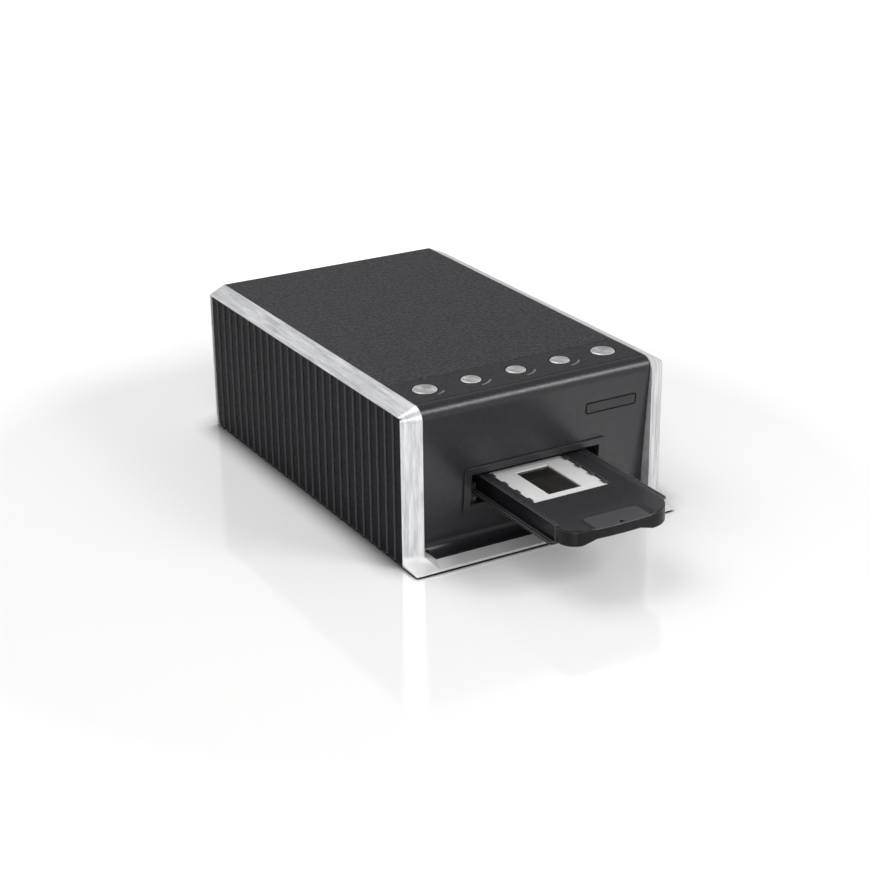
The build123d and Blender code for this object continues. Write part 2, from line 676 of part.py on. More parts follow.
with BuildPart() as base_pan:
    with BuildSketch():
        with Locations((0, (pan_front + pan_rear) / 2)):
            Rectangle(2 * pan_half, pan_rear - pan_front)
    extrude(amount=BASE_T)
    with BuildSketch():
        with Locations(*foot_spots):
            Circle(FOOT_R + FIT)
    extrude(amount=FOOT_SEAT, mode=Mode.SUBTRACT)
    with Locations(Plane.XY.rotated((180, 0, 0))):
        with Locations(*[(x, -y) for x, y in case_screw_spots]):
            CounterSinkHole(SCREW_R + RUN, SCREW_HEAD_R + 2 * RUN, BASE_T, 90)
    # pegs for the chassis, and standoffs for the main board
    with BuildSketch(Plane.XY.offset(BASE_T)):
        with Locations(*peg_spots):
            Circle(PEG_R)
    extrude(amount=PEG_H)
    with BuildSketch(Plane.XY.offset(BASE_T)):
        with Locations(*standoff_spots):
            Circle(BOSS_R)
            Circle(SCREW_R + RUN, mode=Mode.SUBTRACT)
    extrude(amount=STANDOFF_H)

with BuildPart() as rubber_feet:
    with BuildSketch(Plane.XY.offset(-FOOT_H)):
        with Locations(*foot_spots):
            Circle(FOOT_R)
    extrude(amount=FOOT_H + FOOT_SEAT)
    chamfer(edges().filter_by(GeomType.CIRCLE).group_by(Axis.Z)[0], length=FOOT_H / 3)

with BuildPart() as case_screws:
    for x, y in case_screw_spots:
        with BuildSketch(Plane(origin=(x, y, 0), x_dir=(1, 0, 0), z_dir=(0, -1, 0))):
            with BuildLine():
                Polyline((0, 0), (SCREW_HEAD_R, 0), (SCREW_R, sink), (SCREW_R, CASE_SCREW_L),
                         (0, CASE_SCREW_L), close=True)
            make_face()
        revolve(axis=Axis((x, y, 0), (0, 0, 1)))

# ================================================================== slide holder, drawn part way out
holder_top = HOLDER_Z + HOLDER_H
floor_top = HOLDER_Z + HOLDER_FLOOR
holder_rear = HOLDER_FRONT + HOLDER_L
channel = HOLDER_HALF - HOLDER_WALL
wing = HOLDER_HALF + WING_W
ridge = HOLDER_HALF + RIDGE_W
pocket_ys = [HOLDER_FRONT + FIRST_POCKET + POCKET_PITCH * k for k in range(POCKET_COUNT)]
pocket_spots = [(POCKET_X, y) for y in pocket_ys]
pocket_z = floor_top + POCKET_FLOOR
pocket_w = MOUNT_W + 2 * POCKET_GAP
mount_top = pocket_z + MOUNT_T
rack_pitch = pi * RACK_MODULE
rack_line = HOLDER_Z - ROOT * RACK_MODULE
pressure = radians(PRESSURE)
first_tooth = int((HOLDER_FRONT - SCAN_Y) / rack_pitch) + 1
tooth_count = int(HOLDER_L / rack_pitch) - 2


def half_tooth(module, above):
    """Half width of a rack tooth at a height above its pitch line, towards the tip."""
    return rack_pitch / 4 - BACKLASH * module / 2 - above * tan(pressure)


with BuildPart() as holder_base:
    # channel with a thin flange along each side, which runs in the guide rails
    with BuildSketch(Plane.XZ.offset(-HOLDER_FRONT)):
        with BuildLine():
            side = [(wing, HOLDER_Z), (wing, HOLDER_Z + WING_T), (HOLDER_HALF, HOLDER_Z + WING_T),
                    (HOLDER_HALF, holder_top), (channel, holder_top), (channel, floor_top)]
            Polyline(*side, *[(-x, z) for x, z in reversed(side)], close=True)
        make_face()
        with BuildLine():
            Polyline((channel, holder_top - RIDGE_H), (ridge, holder_top - RIDGE_H), (ridge, holder_top),
                     (ridge - RIDGE_T, holder_top), (ridge - RIDGE_T, holder_top - RIDGE_T),
                     (HOLDER_HALF, holder_top - RIDGE_T), (HOLDER_HALF, holder_top), (channel, holder_top),
                     close=True)
        make_face()
    extrude(amount=-HOLDER_L)
    # the lower flanges' front corners are rounded, and a thin lip follows their edge
    for side in (-1, 1):
        with BuildSketch(Plane.XY.offset(HOLDER_Z)):
            with Locations((side * (wing - WING_R / 2), HOLDER_FRONT + WING_R / 2)):
                Rectangle(WING_R, WING_R)
            with Locations((side * (wing - WING_R), HOLDER_FRONT + WING_R)):
                Circle(WING_R, mode=Mode.SUBTRACT)
        extrude(amount=WING_T, mode=Mode.SUBTRACT)
        with BuildSketch(Plane.XY.offset(HOLDER_Z)):
            for inset, step in ((0, Mode.ADD), (WING_LIP_T, Mode.SUBTRACT)):
                with BuildLine():
                    front_edge = HOLDER_FRONT + inset
                    outer_edge = side * (wing - inset)
                    FilletPolyline((side * HOLDER_HALF, holder_rear), (side * HOLDER_HALF, front_edge),
                                   (outer_edge, front_edge), (outer_edge, holder_rear),
                                   radius=[0, 0, WING_R - inset, 0], close=True)
                make_face(mode=step)
        extrude(amount=WING_LIP_H)
    with BuildSketch(Plane.XY.offset(HOLDER_Z)):
        with Locations(*pocket_spots):
            Rectangle(WINDOW_W, WINDOW_L)
    extrude(amount=HOLDER_FLOOR, mode=Mode.SUBTRACT)
    # rack
    with BuildSketch(Plane.YZ.offset(RACK_X - RACK_W / 2)):
        with BuildLine():
            teeth = []
            for k in range(first_tooth, first_tooth + tooth_count):
                y = SCAN_Y + (k + 0.5) * rack_pitch
                root_half = half_tooth(RACK_MODULE, -ROOT * RACK_MODULE)
                tip_half = half_tooth(RACK_MODULE, TIP * RACK_MODULE)
                teeth.append((y - root_half, HOLDER_Z))
                teeth.append((y - tip_half, rack_line - TIP * RACK_MODULE))
                teeth.append((y + tip_half, rack_line - TIP * RACK_MODULE))
                teeth.append((y + root_half, HOLDER_Z))
            backing = HOLDER_Z + HOLDER_FLOOR / 2
            Polyline((teeth[0][0], backing), *teeth, (teeth[-1][0], backing), close=True)
        make_face()
    extrude(amount=RACK_W)

deck_half = channel - 2 * FIT
grip_half = HOLDER_HALF - GRIP_SIDE
grip_back = HOLDER_FRONT - 5 * FIT
grip_front = grip_back - GRIP_D
grip_bottom = floor_top - GRIP_SIDE
tab_z = mount_top + POCKET_GAP

with BuildPart() as holder_deck:
    # grip with a bowed front and rounded corners
    with BuildSketch(Plane.XY.offset(grip_bottom)):
        with BuildLine():
            Polyline((-grip_half, grip_front), (-grip_half, holder_rear), (grip_half, holder_rear),
                     (grip_half, grip_front))
            ThreePointArc((grip_half, grip_front), (0, grip_front - GRIP_BOW), (-grip_half, grip_front))
        make_face()
        fillet(vertices().group_by(Axis.X)[0].sort_by(Axis.Y)[0], radius=GRIP_R)
        fillet(vertices().group_by(Axis.X)[-1].sort_by(Axis.Y)[0], radius=GRIP_R_RIGHT)
        with Locations((0, (grip_back + holder_rear) / 2)):
            Rectangle(WIDTH, holder_rear - grip_back, mode=Mode.SUBTRACT)
    extrude(amount=holder_top - grip_bottom)
    fillet(faces().sort_by(Axis.Z)[-1].edges().group_by(Axis.Y)[:-1], radius=GRIP_EDGE)
    # notch under it
    with BuildSketch(Plane.XZ.offset(-grip_front - NOTCH_D)):
        with BuildLine():
            low = grip_bottom - NOTCH_H
            FilletPolyline((POCKET_X - NOTCH_W, low), (POCKET_X - NOTCH_W, grip_bottom),
                           (POCKET_X - NOTCH_W / 2, grip_bottom),
                           (POCKET_X - NOTCH_TOP_W / 2, grip_bottom + NOTCH_H),
                           (POCKET_X + NOTCH_TOP_W / 2, grip_bottom + NOTCH_H),
                           (POCKET_X + NOTCH_W / 2, grip_bottom), (POCKET_X + NOTCH_W, grip_bottom),
                           (POCKET_X + NOTCH_W, low),
                           radius=[0, 0, NOTCH_R, NOTCH_R, NOTCH_R, NOTCH_R, 0, 0], close=True)
        make_face()
    extrude(amount=NOTCH_D + 2 * GRIP_BOW, mode=Mode.SUBTRACT)
    # deck between the side walls, with chamfered edges and a window under each pocket
    deck_front = grip_back - GRIP_SIDE
    with BuildSketch(Plane.XZ.offset(-deck_front)):
        with BuildLine():
            Polyline((-deck_half, floor_top), (-deck_half, holder_top - DECK_EDGE),
                     (DECK_EDGE - deck_half, holder_top), (deck_half - DECK_EDGE, holder_top),
                     (deck_half, holder_top - DECK_EDGE), (deck_half, floor_top), close=True)
        make_face()
    extrude(amount=deck_front - holder_rear)
    with BuildSketch(Plane.XY.offset(floor_top)):
        with Locations(*pocket_spots):
            Rectangle(WINDOW_W, WINDOW_L)
    extrude(amount=POCKET_FLOOR + FIT, mode=Mode.SUBTRACT)
    # finger scoop with sloping sides, and a sunk triangle on its floor
    scoop_back = grip_front - GRIP_BOW + SCOOP_L
    with BuildSketch(Plane.XY.offset(holder_top)):
        with Locations((0, scoop_back - SCOOP_L)):
            RectangleRounded(SCOOP_W, 2 * SCOOP_L, SCOOP_R)
    with BuildSketch(Plane.XY.offset(holder_top - SCOOP_D)):
        with Locations((0, scoop_back - SCOOP_L)):
            RectangleRounded(SCOOP_W - 2 * SCOOP_SLOPE, 2 * (SCOOP_L - SCOOP_SLOPE), SCOOP_R - SCOOP_SLOPE)
    loft(ruled=True, mode=Mode.SUBTRACT)
    with BuildSketch(Plane.XY.offset(holder_top - SCOOP_D - ARROW_D)):
        with Locations((0, grip_front)):
            RegularPolygon(ARROW, 3, rotation=90)
    extrude(amount=ARROW_D, mode=Mode.SUBTRACT)
    # pockets, with small tabs over the edges of the mounts
    with BuildSketch(Plane.XY.offset(pocket_z)):
        with Locations(*pocket_spots):
            Rectangle(pocket_w, pocket_w)
    extrude(amount=holder_top - pocket_z, mode=Mode.SUBTRACT)
    with BuildSketch(Plane.XY.offset(tab_z)):
        with Locations(*pocket_spots):
            with GridLocations(pocket_w - TAB_OVER - POCKET_GAP + TAB_T, TAB_PITCH, 2, TAB_COUNT):
                RectangleRounded(TAB_OVER + POCKET_GAP + TAB_T, TAB_W, TAB_R)
    extrude(amount=TAB_T)

mount_y = pocket_ys[0]
film_gap = FILM_T + FIT
film_z = pocket_z + (MOUNT_T - film_gap) / 2

with BuildPart() as slide_mount:
    with BuildSketch(Plane.XY.offset(pocket_z)):
        with Locations((POCKET_X, mount_y)):
            RectangleRounded(MOUNT_W, MOUNT_W, MOUNT_T)
            Rectangle(MOUNT_WINDOW_W, MOUNT_WINDOW_L, mode=Mode.SUBTRACT)
    extrude(amount=MOUNT_T)
    # room between the two halves for the film
    with BuildSketch(Plane.XY.offset(film_z)):
        with Locations((POCKET_X, mount_y)):
            Rectangle(WINDOW_W + FIT, WINDOW_L + FIT)
    extrude(amount=film_gap, mode=Mode.SUBTRACT)

with BuildPart() as film_chip:
    with BuildSketch(Plane.XY.offset(film_z)):
        with Locations((POCKET_X, mount_y)):
            Rectangle(WINDOW_W - FIT, WINDOW_L - FIT)
    extrude(amount=FILM_T)

# ================================================================== guide rails and chassis
rail_in = HOLDER_HALF + WING_GAP
rail_z = HOLDER_Z - RAIL_UNDER
rail_top = rail_z + RAIL_H
groove_out = wing + WING_GAP
groove_top = HOLDER_Z + WING_LIP_H + WING_GAP
groove_low = HOLDER_Z - WING_GAP / 2
rail_tab_ys = [RAIL_TAB_Y + RAIL_TAB_PITCH * k for k in range(RAIL_TAB_COUNT)]
rail_tab_spots = [(RAIL_OUT + RAIL_TAB_W / 2, y) for y in rail_tab_ys]
chassis_top = BASE_T + CHASSIS_T

with BuildPart() as right_guide_rail:
    with BuildSketch(Plane.XZ.offset(-RAIL_FRONT)):
        with BuildLine():
            Polyline((RAIL_OUT, rail_z), (RAIL_OUT, rail_top), (rail_in, rail_top), (rail_in, groove_top),
                     (groove_out, groove_top), (groove_out, groove_low), (rail_in, groove_low),
                     (rail_in, rail_z), close=True)
        make_face()
    extrude(amount=RAIL_FRONT - RAIL_REAR)
    with BuildSketch(Plane.XY.offset(rail_z)):
        with Locations(*rail_tab_spots):
            Rectangle(RAIL_TAB_W, RAIL_TAB_L)
            Circle(SCREW_R + RUN, mode=Mode.SUBTRACT)
    extrude(amount=RAIL_TAB_T)

with BuildPart() as left_guide_rail:
    mirror(right_guide_rail.part, about=Plane.YZ)

pinion_z = rack_line - PINION_TEETH * RACK_MODULE / 2
post_spots = [(POCKET_X + side * SENSOR_BOARD_W / 3, SENSOR_Y + BOARD_T + PEG_R) for side in (-1, 1)]

with BuildPart() as scan_chassis:
    with BuildSketch(Plane.XZ.offset(-CHASSIS_FRONT)):
        with BuildLine():
            Polyline((-RAIL_OUT, BASE_T), (-RAIL_OUT, rail_z), (CHASSIS_T - RAIL_OUT, rail_z),
                     (CHASSIS_T - RAIL_OUT, chassis_top), (RAIL_OUT - CHASSIS_T, chassis_top),
                     (RAIL_OUT - CHASSIS_T, rail_z), (RAIL_OUT, rail_z), (RAIL_OUT, BASE_T), close=True)
        make_face()
    extrude(amount=CHASSIS_FRONT - CHASSIS_REAR)
    with BuildSketch(Plane.XY.offset(rail_z - CHASSIS_T)):
        with Locations(*rail_tab_spots, *[(-x, y) for x, y in rail_tab_spots]):
            Rectangle(RAIL_TAB_W, RAIL_TAB_L)
            Circle(SCREW_R + RUN, mode=Mode.SUBTRACT)
    extrude(amount=CHASSIS_T)
    with BuildSketch(Plane.XY.offset(BASE_T)):
        with Locations(*peg_spots):
            Circle(PEG_R + FIT)
    extrude(amount=CHASSIS_T, mode=Mode.SUBTRACT)
    # posts behind the sensor board
    with BuildSketch(Plane.XY.offset(chassis_top)):
        with Locations(*post_spots):
            Rectangle(2 * PEG_R, 2 * PEG_R)
    extrude(amount=SENSOR_BOARD_H)
    with BuildSketch(Plane.YZ.offset(-RAIL_OUT)):
        with Locations((SCAN_Y, pinion_z)):
            Circle(BUSH_R + PRESS)
    extrude(amount=CHASSIS_T, mode=Mode.SUBTRACT)

with BuildPart() as chassis_screws:
    for x, y in rail_tab_spots + [(-x, y) for x, y in rail_tab_spots]:
        with BuildSketch(Plane.XY.offset(rail_z + RAIL_TAB_T - SCREW_L)):
            with Locations((x, y)):
                Circle(SCREW_R)
        extrude(amount=SCREW_L)
        with BuildSketch(Plane.XY.offset(rail_z + RAIL_TAB_T)):
            with Locations((x, y)):
                Circle(SCREW_HEAD_R)
        extrude(amount=SCREW_HEAD_H)

# ================================================================== rack drive
def gear_outline(module, teeth, phase):
    """Points round a stub-tooth spur gear with one tooth at the phase angle, in degrees."""
    pitch_r = module * teeth / 2
    base_r = pitch_r * cos(pressure)
    tip_r = pitch_r + TIP * module
    root_r = pitch_r - ROOT * module
    low_r = max(root_r, base_r)
    base_half = pi / 2 / teeth - BACKLASH * module / 2 / pitch_r + tan(pressure) - pressure
    steps = 4
    flank = []
    for k in range(steps + 1):
        r = low_r + (tip_r - low_r) * k / steps
        roll = acos(min(1, base_r / r))
        flank.append((r, base_half - tan(roll) + roll))
    points = []
    for tooth in range(teeth):
        middle = radians(phase) + 2 * pi * tooth / teeth
        side = [(root_r, flank[0][1])] if root_r < low_r else []
        side += flank
        for r, a in side:
            points.append((r * cos(middle - a), r * sin(middle - a)))
        for r, a in reversed(side):
            points.append((r * cos(middle + a), r * sin(middle + a)))
    return points


def gear(centre, x, width, module, teeth, phase):
    """A gear blank without its bore, standing on the plane at x and reaching towards +X."""
    with BuildPart() as blank:
        with BuildSketch(Plane.YZ.offset(x)):
            with BuildLine():
                Polyline(*[(centre[0] + y, centre[1] + z) for y, z in gear_outline(module, teeth, phase)],
                         close=True)
            make_face()
        extrude(amount=width)
    return blank.part


drive_axis = (SCAN_Y, pinion_z)
train = GEAR_MODULE * (DRIVE_TEETH + SMALL_TEETH) / 2
gear_axis = (drive_axis[0] + train * cos(radians(TRAIN_ANGLE)),
             drive_axis[1] + train * sin(radians(TRAIN_ANGLE)))
motor_train = GEAR_MODULE * (LARGE_TEETH + MOTOR_TEETH) / 2
motor_axis = (gear_axis[0] + motor_train * cos(radians(MOTOR_ANGLE)),
              gear_axis[1] + motor_train * sin(radians(MOTOR_ANGLE)))
bracket_out = -BRACKET_X - BRACKET_T
motor_l = pocket_face - FRAME_WALL - MOTOR_CLEAR + bracket_out - MOTOR_FLANGE_T
large_x = -BRACKET_X + GEAR_GAP
small_x = large_x + LARGE_GEAR_W
drive_x = small_x + GEAR_GAP
pinion_x = RACK_X - PINION_W / 2
ears = [(motor_axis[0] + side * MOTOR_EAR * cos(radians(MOTOR_EAR_ANGLE)),
         motor_axis[1] + side * MOTOR_EAR * sin(radians(MOTOR_EAR_ANGLE))) for side in (-1, 1)]
bracket_front = SCAN_Y - 4 * BUSH_R
bracket_rear = ears[1][0] + MOTOR_EAR_R + 2 * SCREW_R

with BuildPart() as gear_bracket:
    with BuildSketch(Plane.XZ.offset(-bracket_front)):
        with BuildLine():
            Polyline((bracket_out, BASE_T), (bracket_out, BASE_T + BRACKET_H),
                     (-BRACKET_X, BASE_T + BRACKET_H), (-BRACKET_X, BASE_T + BRACKET_T),
                     (small_x + LARGE_GEAR_W, BASE_T + BRACKET_T),
                     (small_x + LARGE_GEAR_W, BASE_T), close=True)
        make_face()
    extrude(amount=bracket_front - bracket_rear)
    with BuildSketch(Plane.YZ.offset(bracket_out)):
        with Locations(drive_axis):
            Circle(BUSH_R + PRESS)
        with Locations(gear_axis):
            Circle(GEAR_PIN_R + PRESS)
        with Locations(motor_axis):
            Circle(MOTOR_EAR_R)
        with Locations(*ears):
            Circle(SCREW_R + RUN)
    extrude(amount=BRACKET_T, mode=Mode.SUBTRACT)

with BuildPart() as stepper_motor:
    with BuildSketch(Plane.YZ.offset(bracket_out)):
        with Locations(motor_axis):
            SlotCenterToCenter(2 * MOTOR_EAR, 2 * MOTOR_EAR_R, rotation=MOTOR_EAR_ANGLE)
            Circle(MOTOR_R)
        with Locations(*ears):
            Circle(SCREW_R + RUN, mode=Mode.SUBTRACT)
    extrude(amount=-MOTOR_FLANGE_T)
    with BuildSketch(Plane.YZ.offset(bracket_out - MOTOR_FLANGE_T)):
        with Locations(motor_axis):
            Circle(MOTOR_R)
    extrude(amount=-motor_l)
    fillet(edges().filter_by(GeomType.CIRCLE).sort_by(Axis.X)[0], radius=MOTOR_FLANGE_T)
    with BuildSketch(Plane.YZ.offset(bracket_out)):
        with Locations(motor_axis):
            Circle(MOTOR_SHAFT_R + RUN)
    extrude(amount=-MOTOR_SHAFT_BORE - FIT, mode=Mode.SUBTRACT)

with BuildPart() as motor_screws:
    for ear in ears:
        with BuildSketch(Plane.YZ.offset(-BRACKET_X)):
            with Locations(ear):
                Circle(SCREW_HEAD_R)
        extrude(amount=SCREW_HEAD_H)
        with BuildSketch(Plane.YZ.offset(-BRACKET_X)):
            with Locations(ear):
                Circle(SCREW_R)
        extrude(amount=-SCREW_L)

with BuildPart() as motor_shaft:
    with BuildSketch(Plane.YZ.offset(bracket_out - MOTOR_SHAFT_BORE)):
        with Locations(motor_axis):
            Circle(MOTOR_SHAFT_R)
    extrude(amount=MOTOR_SHAFT_BORE + small_x - bracket_out + FIT)

with BuildPart() as motor_gear:
    add(gear(motor_axis, large_x, LARGE_GEAR_W, GEAR_MODULE, MOTOR_TEETH,
             MOTOR_ANGLE + 180 + 180 / MOTOR_TEETH))
    with BuildSketch(Plane.YZ.offset(large_x)):
        with Locations(motor_axis):
            Circle(MOTOR_SHAFT_R + PRESS)
    extrude(amount=LARGE_GEAR_W, mode=Mode.SUBTRACT)

with BuildPart() as reduction_pin:
    with BuildSketch(Plane.YZ.offset(bracket_out)):
        with Locations(gear_axis):
            Circle(GEAR_PIN_R)
    extrude(amount=drive_x + GEAR_W + GEAR_GAP / 2 - bracket_out)
    with BuildSketch(Plane.YZ.offset(drive_x + GEAR_W + RUN)):
        with Locations(gear_axis):
            Circle(GEAR_PIN_R + GEAR_GAP)
    extrude(amount=BUSH_FLANGE_T)

with BuildPart() as reduction_gear:
    add(gear(gear_axis, large_x, LARGE_GEAR_W, GEAR_MODULE, LARGE_TEETH, MOTOR_ANGLE))
    add(gear(gear_axis, small_x, GEAR_GAP + GEAR_W, GEAR_MODULE, SMALL_TEETH,
             TRAIN_ANGLE + 180 + 180 / SMALL_TEETH))
    with BuildSketch(Plane.YZ.offset(-BRACKET_X + RUN)):
        with Locations(gear_axis):
            Circle(GEAR_PIN_R + GEAR_GAP)
    extrude(amount=GEAR_GAP)
    with BuildSketch(Plane.YZ.offset(-BRACKET_X)):
        with Locations(gear_axis):
            Circle(GEAR_PIN_R + RUN)
    extrude(amount=2 * GEAR_GAP + LARGE_GEAR_W + GEAR_W, mode=Mode.SUBTRACT)

with BuildPart() as drive_shaft:
    with BuildSketch(Plane.YZ.offset(bracket_out - GEAR_GAP)):
        with Locations(drive_axis):
            Circle(SHAFT_R)
    extrude(amount=-SUPPORT_X + BRACKET_T + 2 * GEAR_GAP - bracket_out)

with BuildPart() as drive_gear:
    add(gear(drive_axis, drive_x, GEAR_W, GEAR_MODULE, DRIVE_TEETH, TRAIN_ANGLE))
    with BuildSketch(Plane.YZ.offset(drive_x + GEAR_W)):
        with Locations(drive_axis):
            Circle(HUB_R)
    extrude(amount=-RAIL_OUT - BUSH_FLANGE_T - FIT - drive_x - GEAR_W)
    with BuildSketch(Plane.YZ.offset(drive_x)):
        with Locations(drive_axis):
            Circle(SHAFT_R + PRESS)
    extrude(amount=RAIL_OUT, mode=Mode.SUBTRACT)

with BuildPart() as rack_pinion:
    add(gear(drive_axis, pinion_x, PINION_W, RACK_MODULE, PINION_TEETH, 90))
    with BuildSketch(Plane.YZ.offset(pinion_x + PINION_W)):
        with Locations(drive_axis):
            Circle(HUB_R)
    extrude(amount=-SUPPORT_X - BUSH_FLANGE_T - FIT - pinion_x - PINION_W)
    with BuildSketch(Plane.YZ.offset(pinion_x)):
        with Locations(drive_axis):
            Circle(SHAFT_R + PRESS)
    extrude(amount=RAIL_OUT, mode=Mode.SUBTRACT)

support_top = pinion_z + BUSH_R + BRACKET_T

with BuildPart() as shaft_support:
    with BuildSketch(Plane.XZ.offset(SUPPORT_W / 2 - SCAN_Y)):
        with BuildLine():
            Polyline((-SUPPORT_X, chassis_top + BRACKET_T), (-SUPPORT_X, support_top),
                     (BRACKET_T - SUPPORT_X, support_top), (BRACKET_T - SUPPORT_X, chassis_top),
                     (-SUPPORT_X - PINION_W, chassis_top), (-SUPPORT_X - PINION_W, chassis_top + BRACKET_T),
                     close=True)
        make_face()
    extrude(amount=-SUPPORT_W)
    with BuildSketch(Plane.YZ.offset(-SUPPORT_X)):
        with Locations(drive_axis):
            Circle(BUSH_R + PRESS)
    extrude(amount=BRACKET_T, mode=Mode.SUBTRACT)

with BuildPart() as shaft_bushes:
    # seat face, wall thickness and side that the flange lies on
    for x, wall, out in ((-BRACKET_X, BRACKET_T, 1), (-RAIL_OUT, CHASSIS_T, -1), (-SUPPORT_X, BRACKET_T, -1)):
        with BuildSketch(Plane.YZ.offset(x)):
            with Locations(drive_axis):
                Circle(BUSH_R)
                Circle(SHAFT_R + RUN, mode=Mode.SUBTRACT)
        extrude(amount=-out * wall)
        with BuildSketch(Plane.YZ.offset(x)):
            with Locations(drive_axis):
                Circle(BUSH_FLANGE_R)
                Circle(SHAFT_R + RUN, mode=Mode.SUBTRACT)
        extrude(amount=out * BUSH_FLANGE_T)

# ================================================================== lamp over the scan line
lamp_z = holder_top + LAMP_CLEAR
bridge_top = lamp_z + LAMP_H + BRIDGE_T
bridge_in = RAIL_OUT - BRIDGE_T
bridge_foot = rail_in + BRIDGE_T

with BuildPart() as lamp_bridge:
    with BuildSketch(Plane.XZ.offset(BRIDGE_D / 2 - SCAN_Y)):
        with BuildLine():
            right = [(RAIL_OUT, bridge_top), (RAIL_OUT, rail_top), (bridge_foot, rail_top),
                     (bridge_foot, rail_top + BRIDGE_T), (bridge_in, rail_top + BRIDGE_T),
                     (bridge_in, bridge_top - BRIDGE_T)]
            Polyline(*right, *[(-x, z) for x, z in reversed(right)], close=True)
        make_face()
    extrude(amount=-BRIDGE_D)

with BuildPart() as lamp_housing:
    with BuildSketch(Plane.XY.offset(lamp_z)):
        with Locations((POCKET_X, SCAN_Y)):
            Rectangle(LAMP_W, LAMP_D)
    extrude(amount=LAMP_H)
    with BuildSketch(Plane.XY.offset(lamp_z)):
        with Locations((POCKET_X, SCAN_Y)):
            Rectangle(LAMP_W - 2 * LAMP_WALL, LAMP_D - 2 * LAMP_WALL)
    extrude(amount=LAMP_H - LAMP_WALL, mode=Mode.SUBTRACT)

with BuildPart() as lamp_board:
    with BuildSketch(Plane.XY.offset(lamp_z + LAMP_H - LAMP_WALL - LAMP_BOARD_T)):
        with Locations((POCKET_X, SCAN_Y)):
            Rectangle(LAMP_W - 2 * LAMP_WALL - 2 * FIT, LAMP_D - 2 * LAMP_WALL - 2 * FIT)
    extrude(amount=LAMP_BOARD_T)

with BuildPart() as lamp_diffuser:
    with BuildSketch(Plane.XY.offset(lamp_z)):
        with Locations((POCKET_X, SCAN_Y)):
            Rectangle(LAMP_W - 2 * LAMP_WALL - 2 * FIT, LAMP_D - 2 * LAMP_WALL - 2 * FIT)
    extrude(amount=DIFFUSER_T)

# ================================================================== mirror, lens and sensor
mirror_plane = Plane(origin=(POCKET_X, SCAN_Y, AXIS_Z), x_dir=(1, 0, 0), z_dir=(0, 1, 1))
mirror_back = SCAN_Y + AXIS_Z - sqrt(2) * MIRROR_T
mirror_top = AXIS_Z + MIRROR_L / 2 * cos(pi / 4) - MIRROR_T

with BuildPart() as mirror_plate:
    with BuildSketch(mirror_plane):
        Rectangle(MIRROR_W, MIRROR_L)
    extrude(amount=-MIRROR_T)

with BuildPart() as mirror_mount:
    with BuildSketch(Plane.YZ.offset(POCKET_X - MIRROR_W / 2)):
        with BuildLine():
            Polyline((mirror_back - chassis_top, chassis_top), (mirror_back - mirror_top, mirror_top),
                     (mirror_back - MOUNT_BLOCK_L, mirror_top), (mirror_back - MOUNT_BLOCK_L, chassis_top),
                     close=True)
        make_face()
    extrude(amount=MIRROR_W)

barrel_front = LENS_Y - BARREL_L / 2
lens_seat = barrel_front + 0.7 * BARREL_L

with BuildPart() as lens_mount:
    with BuildSketch(Plane.XZ.offset(LENS_MOUNT_L / 2 - LENS_Y)):
        with Locations((POCKET_X, (chassis_top + AXIS_Z) / 2)):
            Rectangle(LENS_MOUNT_W, AXIS_Z - chassis_top)
        with Locations((POCKET_X, AXIS_Z)):
            Circle(BARREL_R + SKIN)
            Circle(BARREL_R + RUN, mode=Mode.SUBTRACT)
    extrude(amount=-LENS_MOUNT_L)

with BuildPart() as lens_barrel:
    with BuildSketch(Plane.XZ.offset(-barrel_front)):
        with Locations((POCKET_X, AXIS_Z)):
            Circle(BARREL_R)
            Circle(STOP_R, mode=Mode.SUBTRACT)
    extrude(amount=-BARREL_L)
    with BuildSketch(Plane.XZ.offset(-barrel_front)):
        with Locations((POCKET_X, AXIS_Z)):
            Circle(LENS_R + RUN)
    extrude(amount=barrel_front - lens_seat, mode=Mode.SUBTRACT)

with BuildPart() as lens_glass:
    with BuildSketch(Plane.XY.offset(AXIS_Z)):
        with BuildLine():
            Polyline((POCKET_X, lens_seat - LENS_T - LENS_BULGE), (POCKET_X, lens_seat),
                     (POCKET_X + LENS_R, lens_seat), (POCKET_X + LENS_R, lens_seat - LENS_T))
            chord = (LENS_R ** 2 + LENS_BULGE ** 2) / (2 * LENS_BULGE)
            RadiusArc((POCKET_X + LENS_R, lens_seat - LENS_T),
                      (POCKET_X, lens_seat - LENS_T - LENS_BULGE), chord)
        make_face()
    revolve(axis=Axis((POCKET_X, 0, AXIS_Z), (0, 1, 0)))

with BuildPart() as sensor_board:
    with BuildSketch(Plane.XZ.offset(-SENSOR_Y)):
        with Locations((POCKET_X, chassis_top + SENSOR_BOARD_H / 2)):
            Rectangle(SENSOR_BOARD_W, SENSOR_BOARD_H)
    extrude(amount=-BOARD_T)

with BuildPart() as image_sensor:
    with BuildSketch(Plane.XZ.offset(-SENSOR_Y)):
        with Locations((POCKET_X, AXIS_Z)):
            Rectangle(SENSOR_W, SENSOR_H)
    extrude(amount=SENSOR_T)

# ================================================================== main board and ports
main_front = main_rear - MAIN_BOARD_D

with BuildPart() as main_board:
    with BuildSketch(Plane.XY.offset(board_z)):
        with Locations((board_x, (main_front + main_rear) / 2)):
            Rectangle(board_w, MAIN_BOARD_D)
        with Locations(*standoff_spots):
            Circle(SCREW_R + RUN, mode=Mode.SUBTRACT)
    extrude(amount=BOARD_T)

with BuildPart() as main_board_chips:
    with BuildSketch(Plane.XY.offset(board_face)):
        with Locations((board_x, main_front + MAIN_BOARD_D * 0.24)):
            Rectangle(board_w / 2, board_w / 2)
        with Locations((board_x, main_front + MAIN_BOARD_D * 0.5)):
            with GridLocations(board_w * 0.4, 1, 2, 1):
                Rectangle(board_w / 4, board_w / 2)
    extrude(amount=CHIP_T)

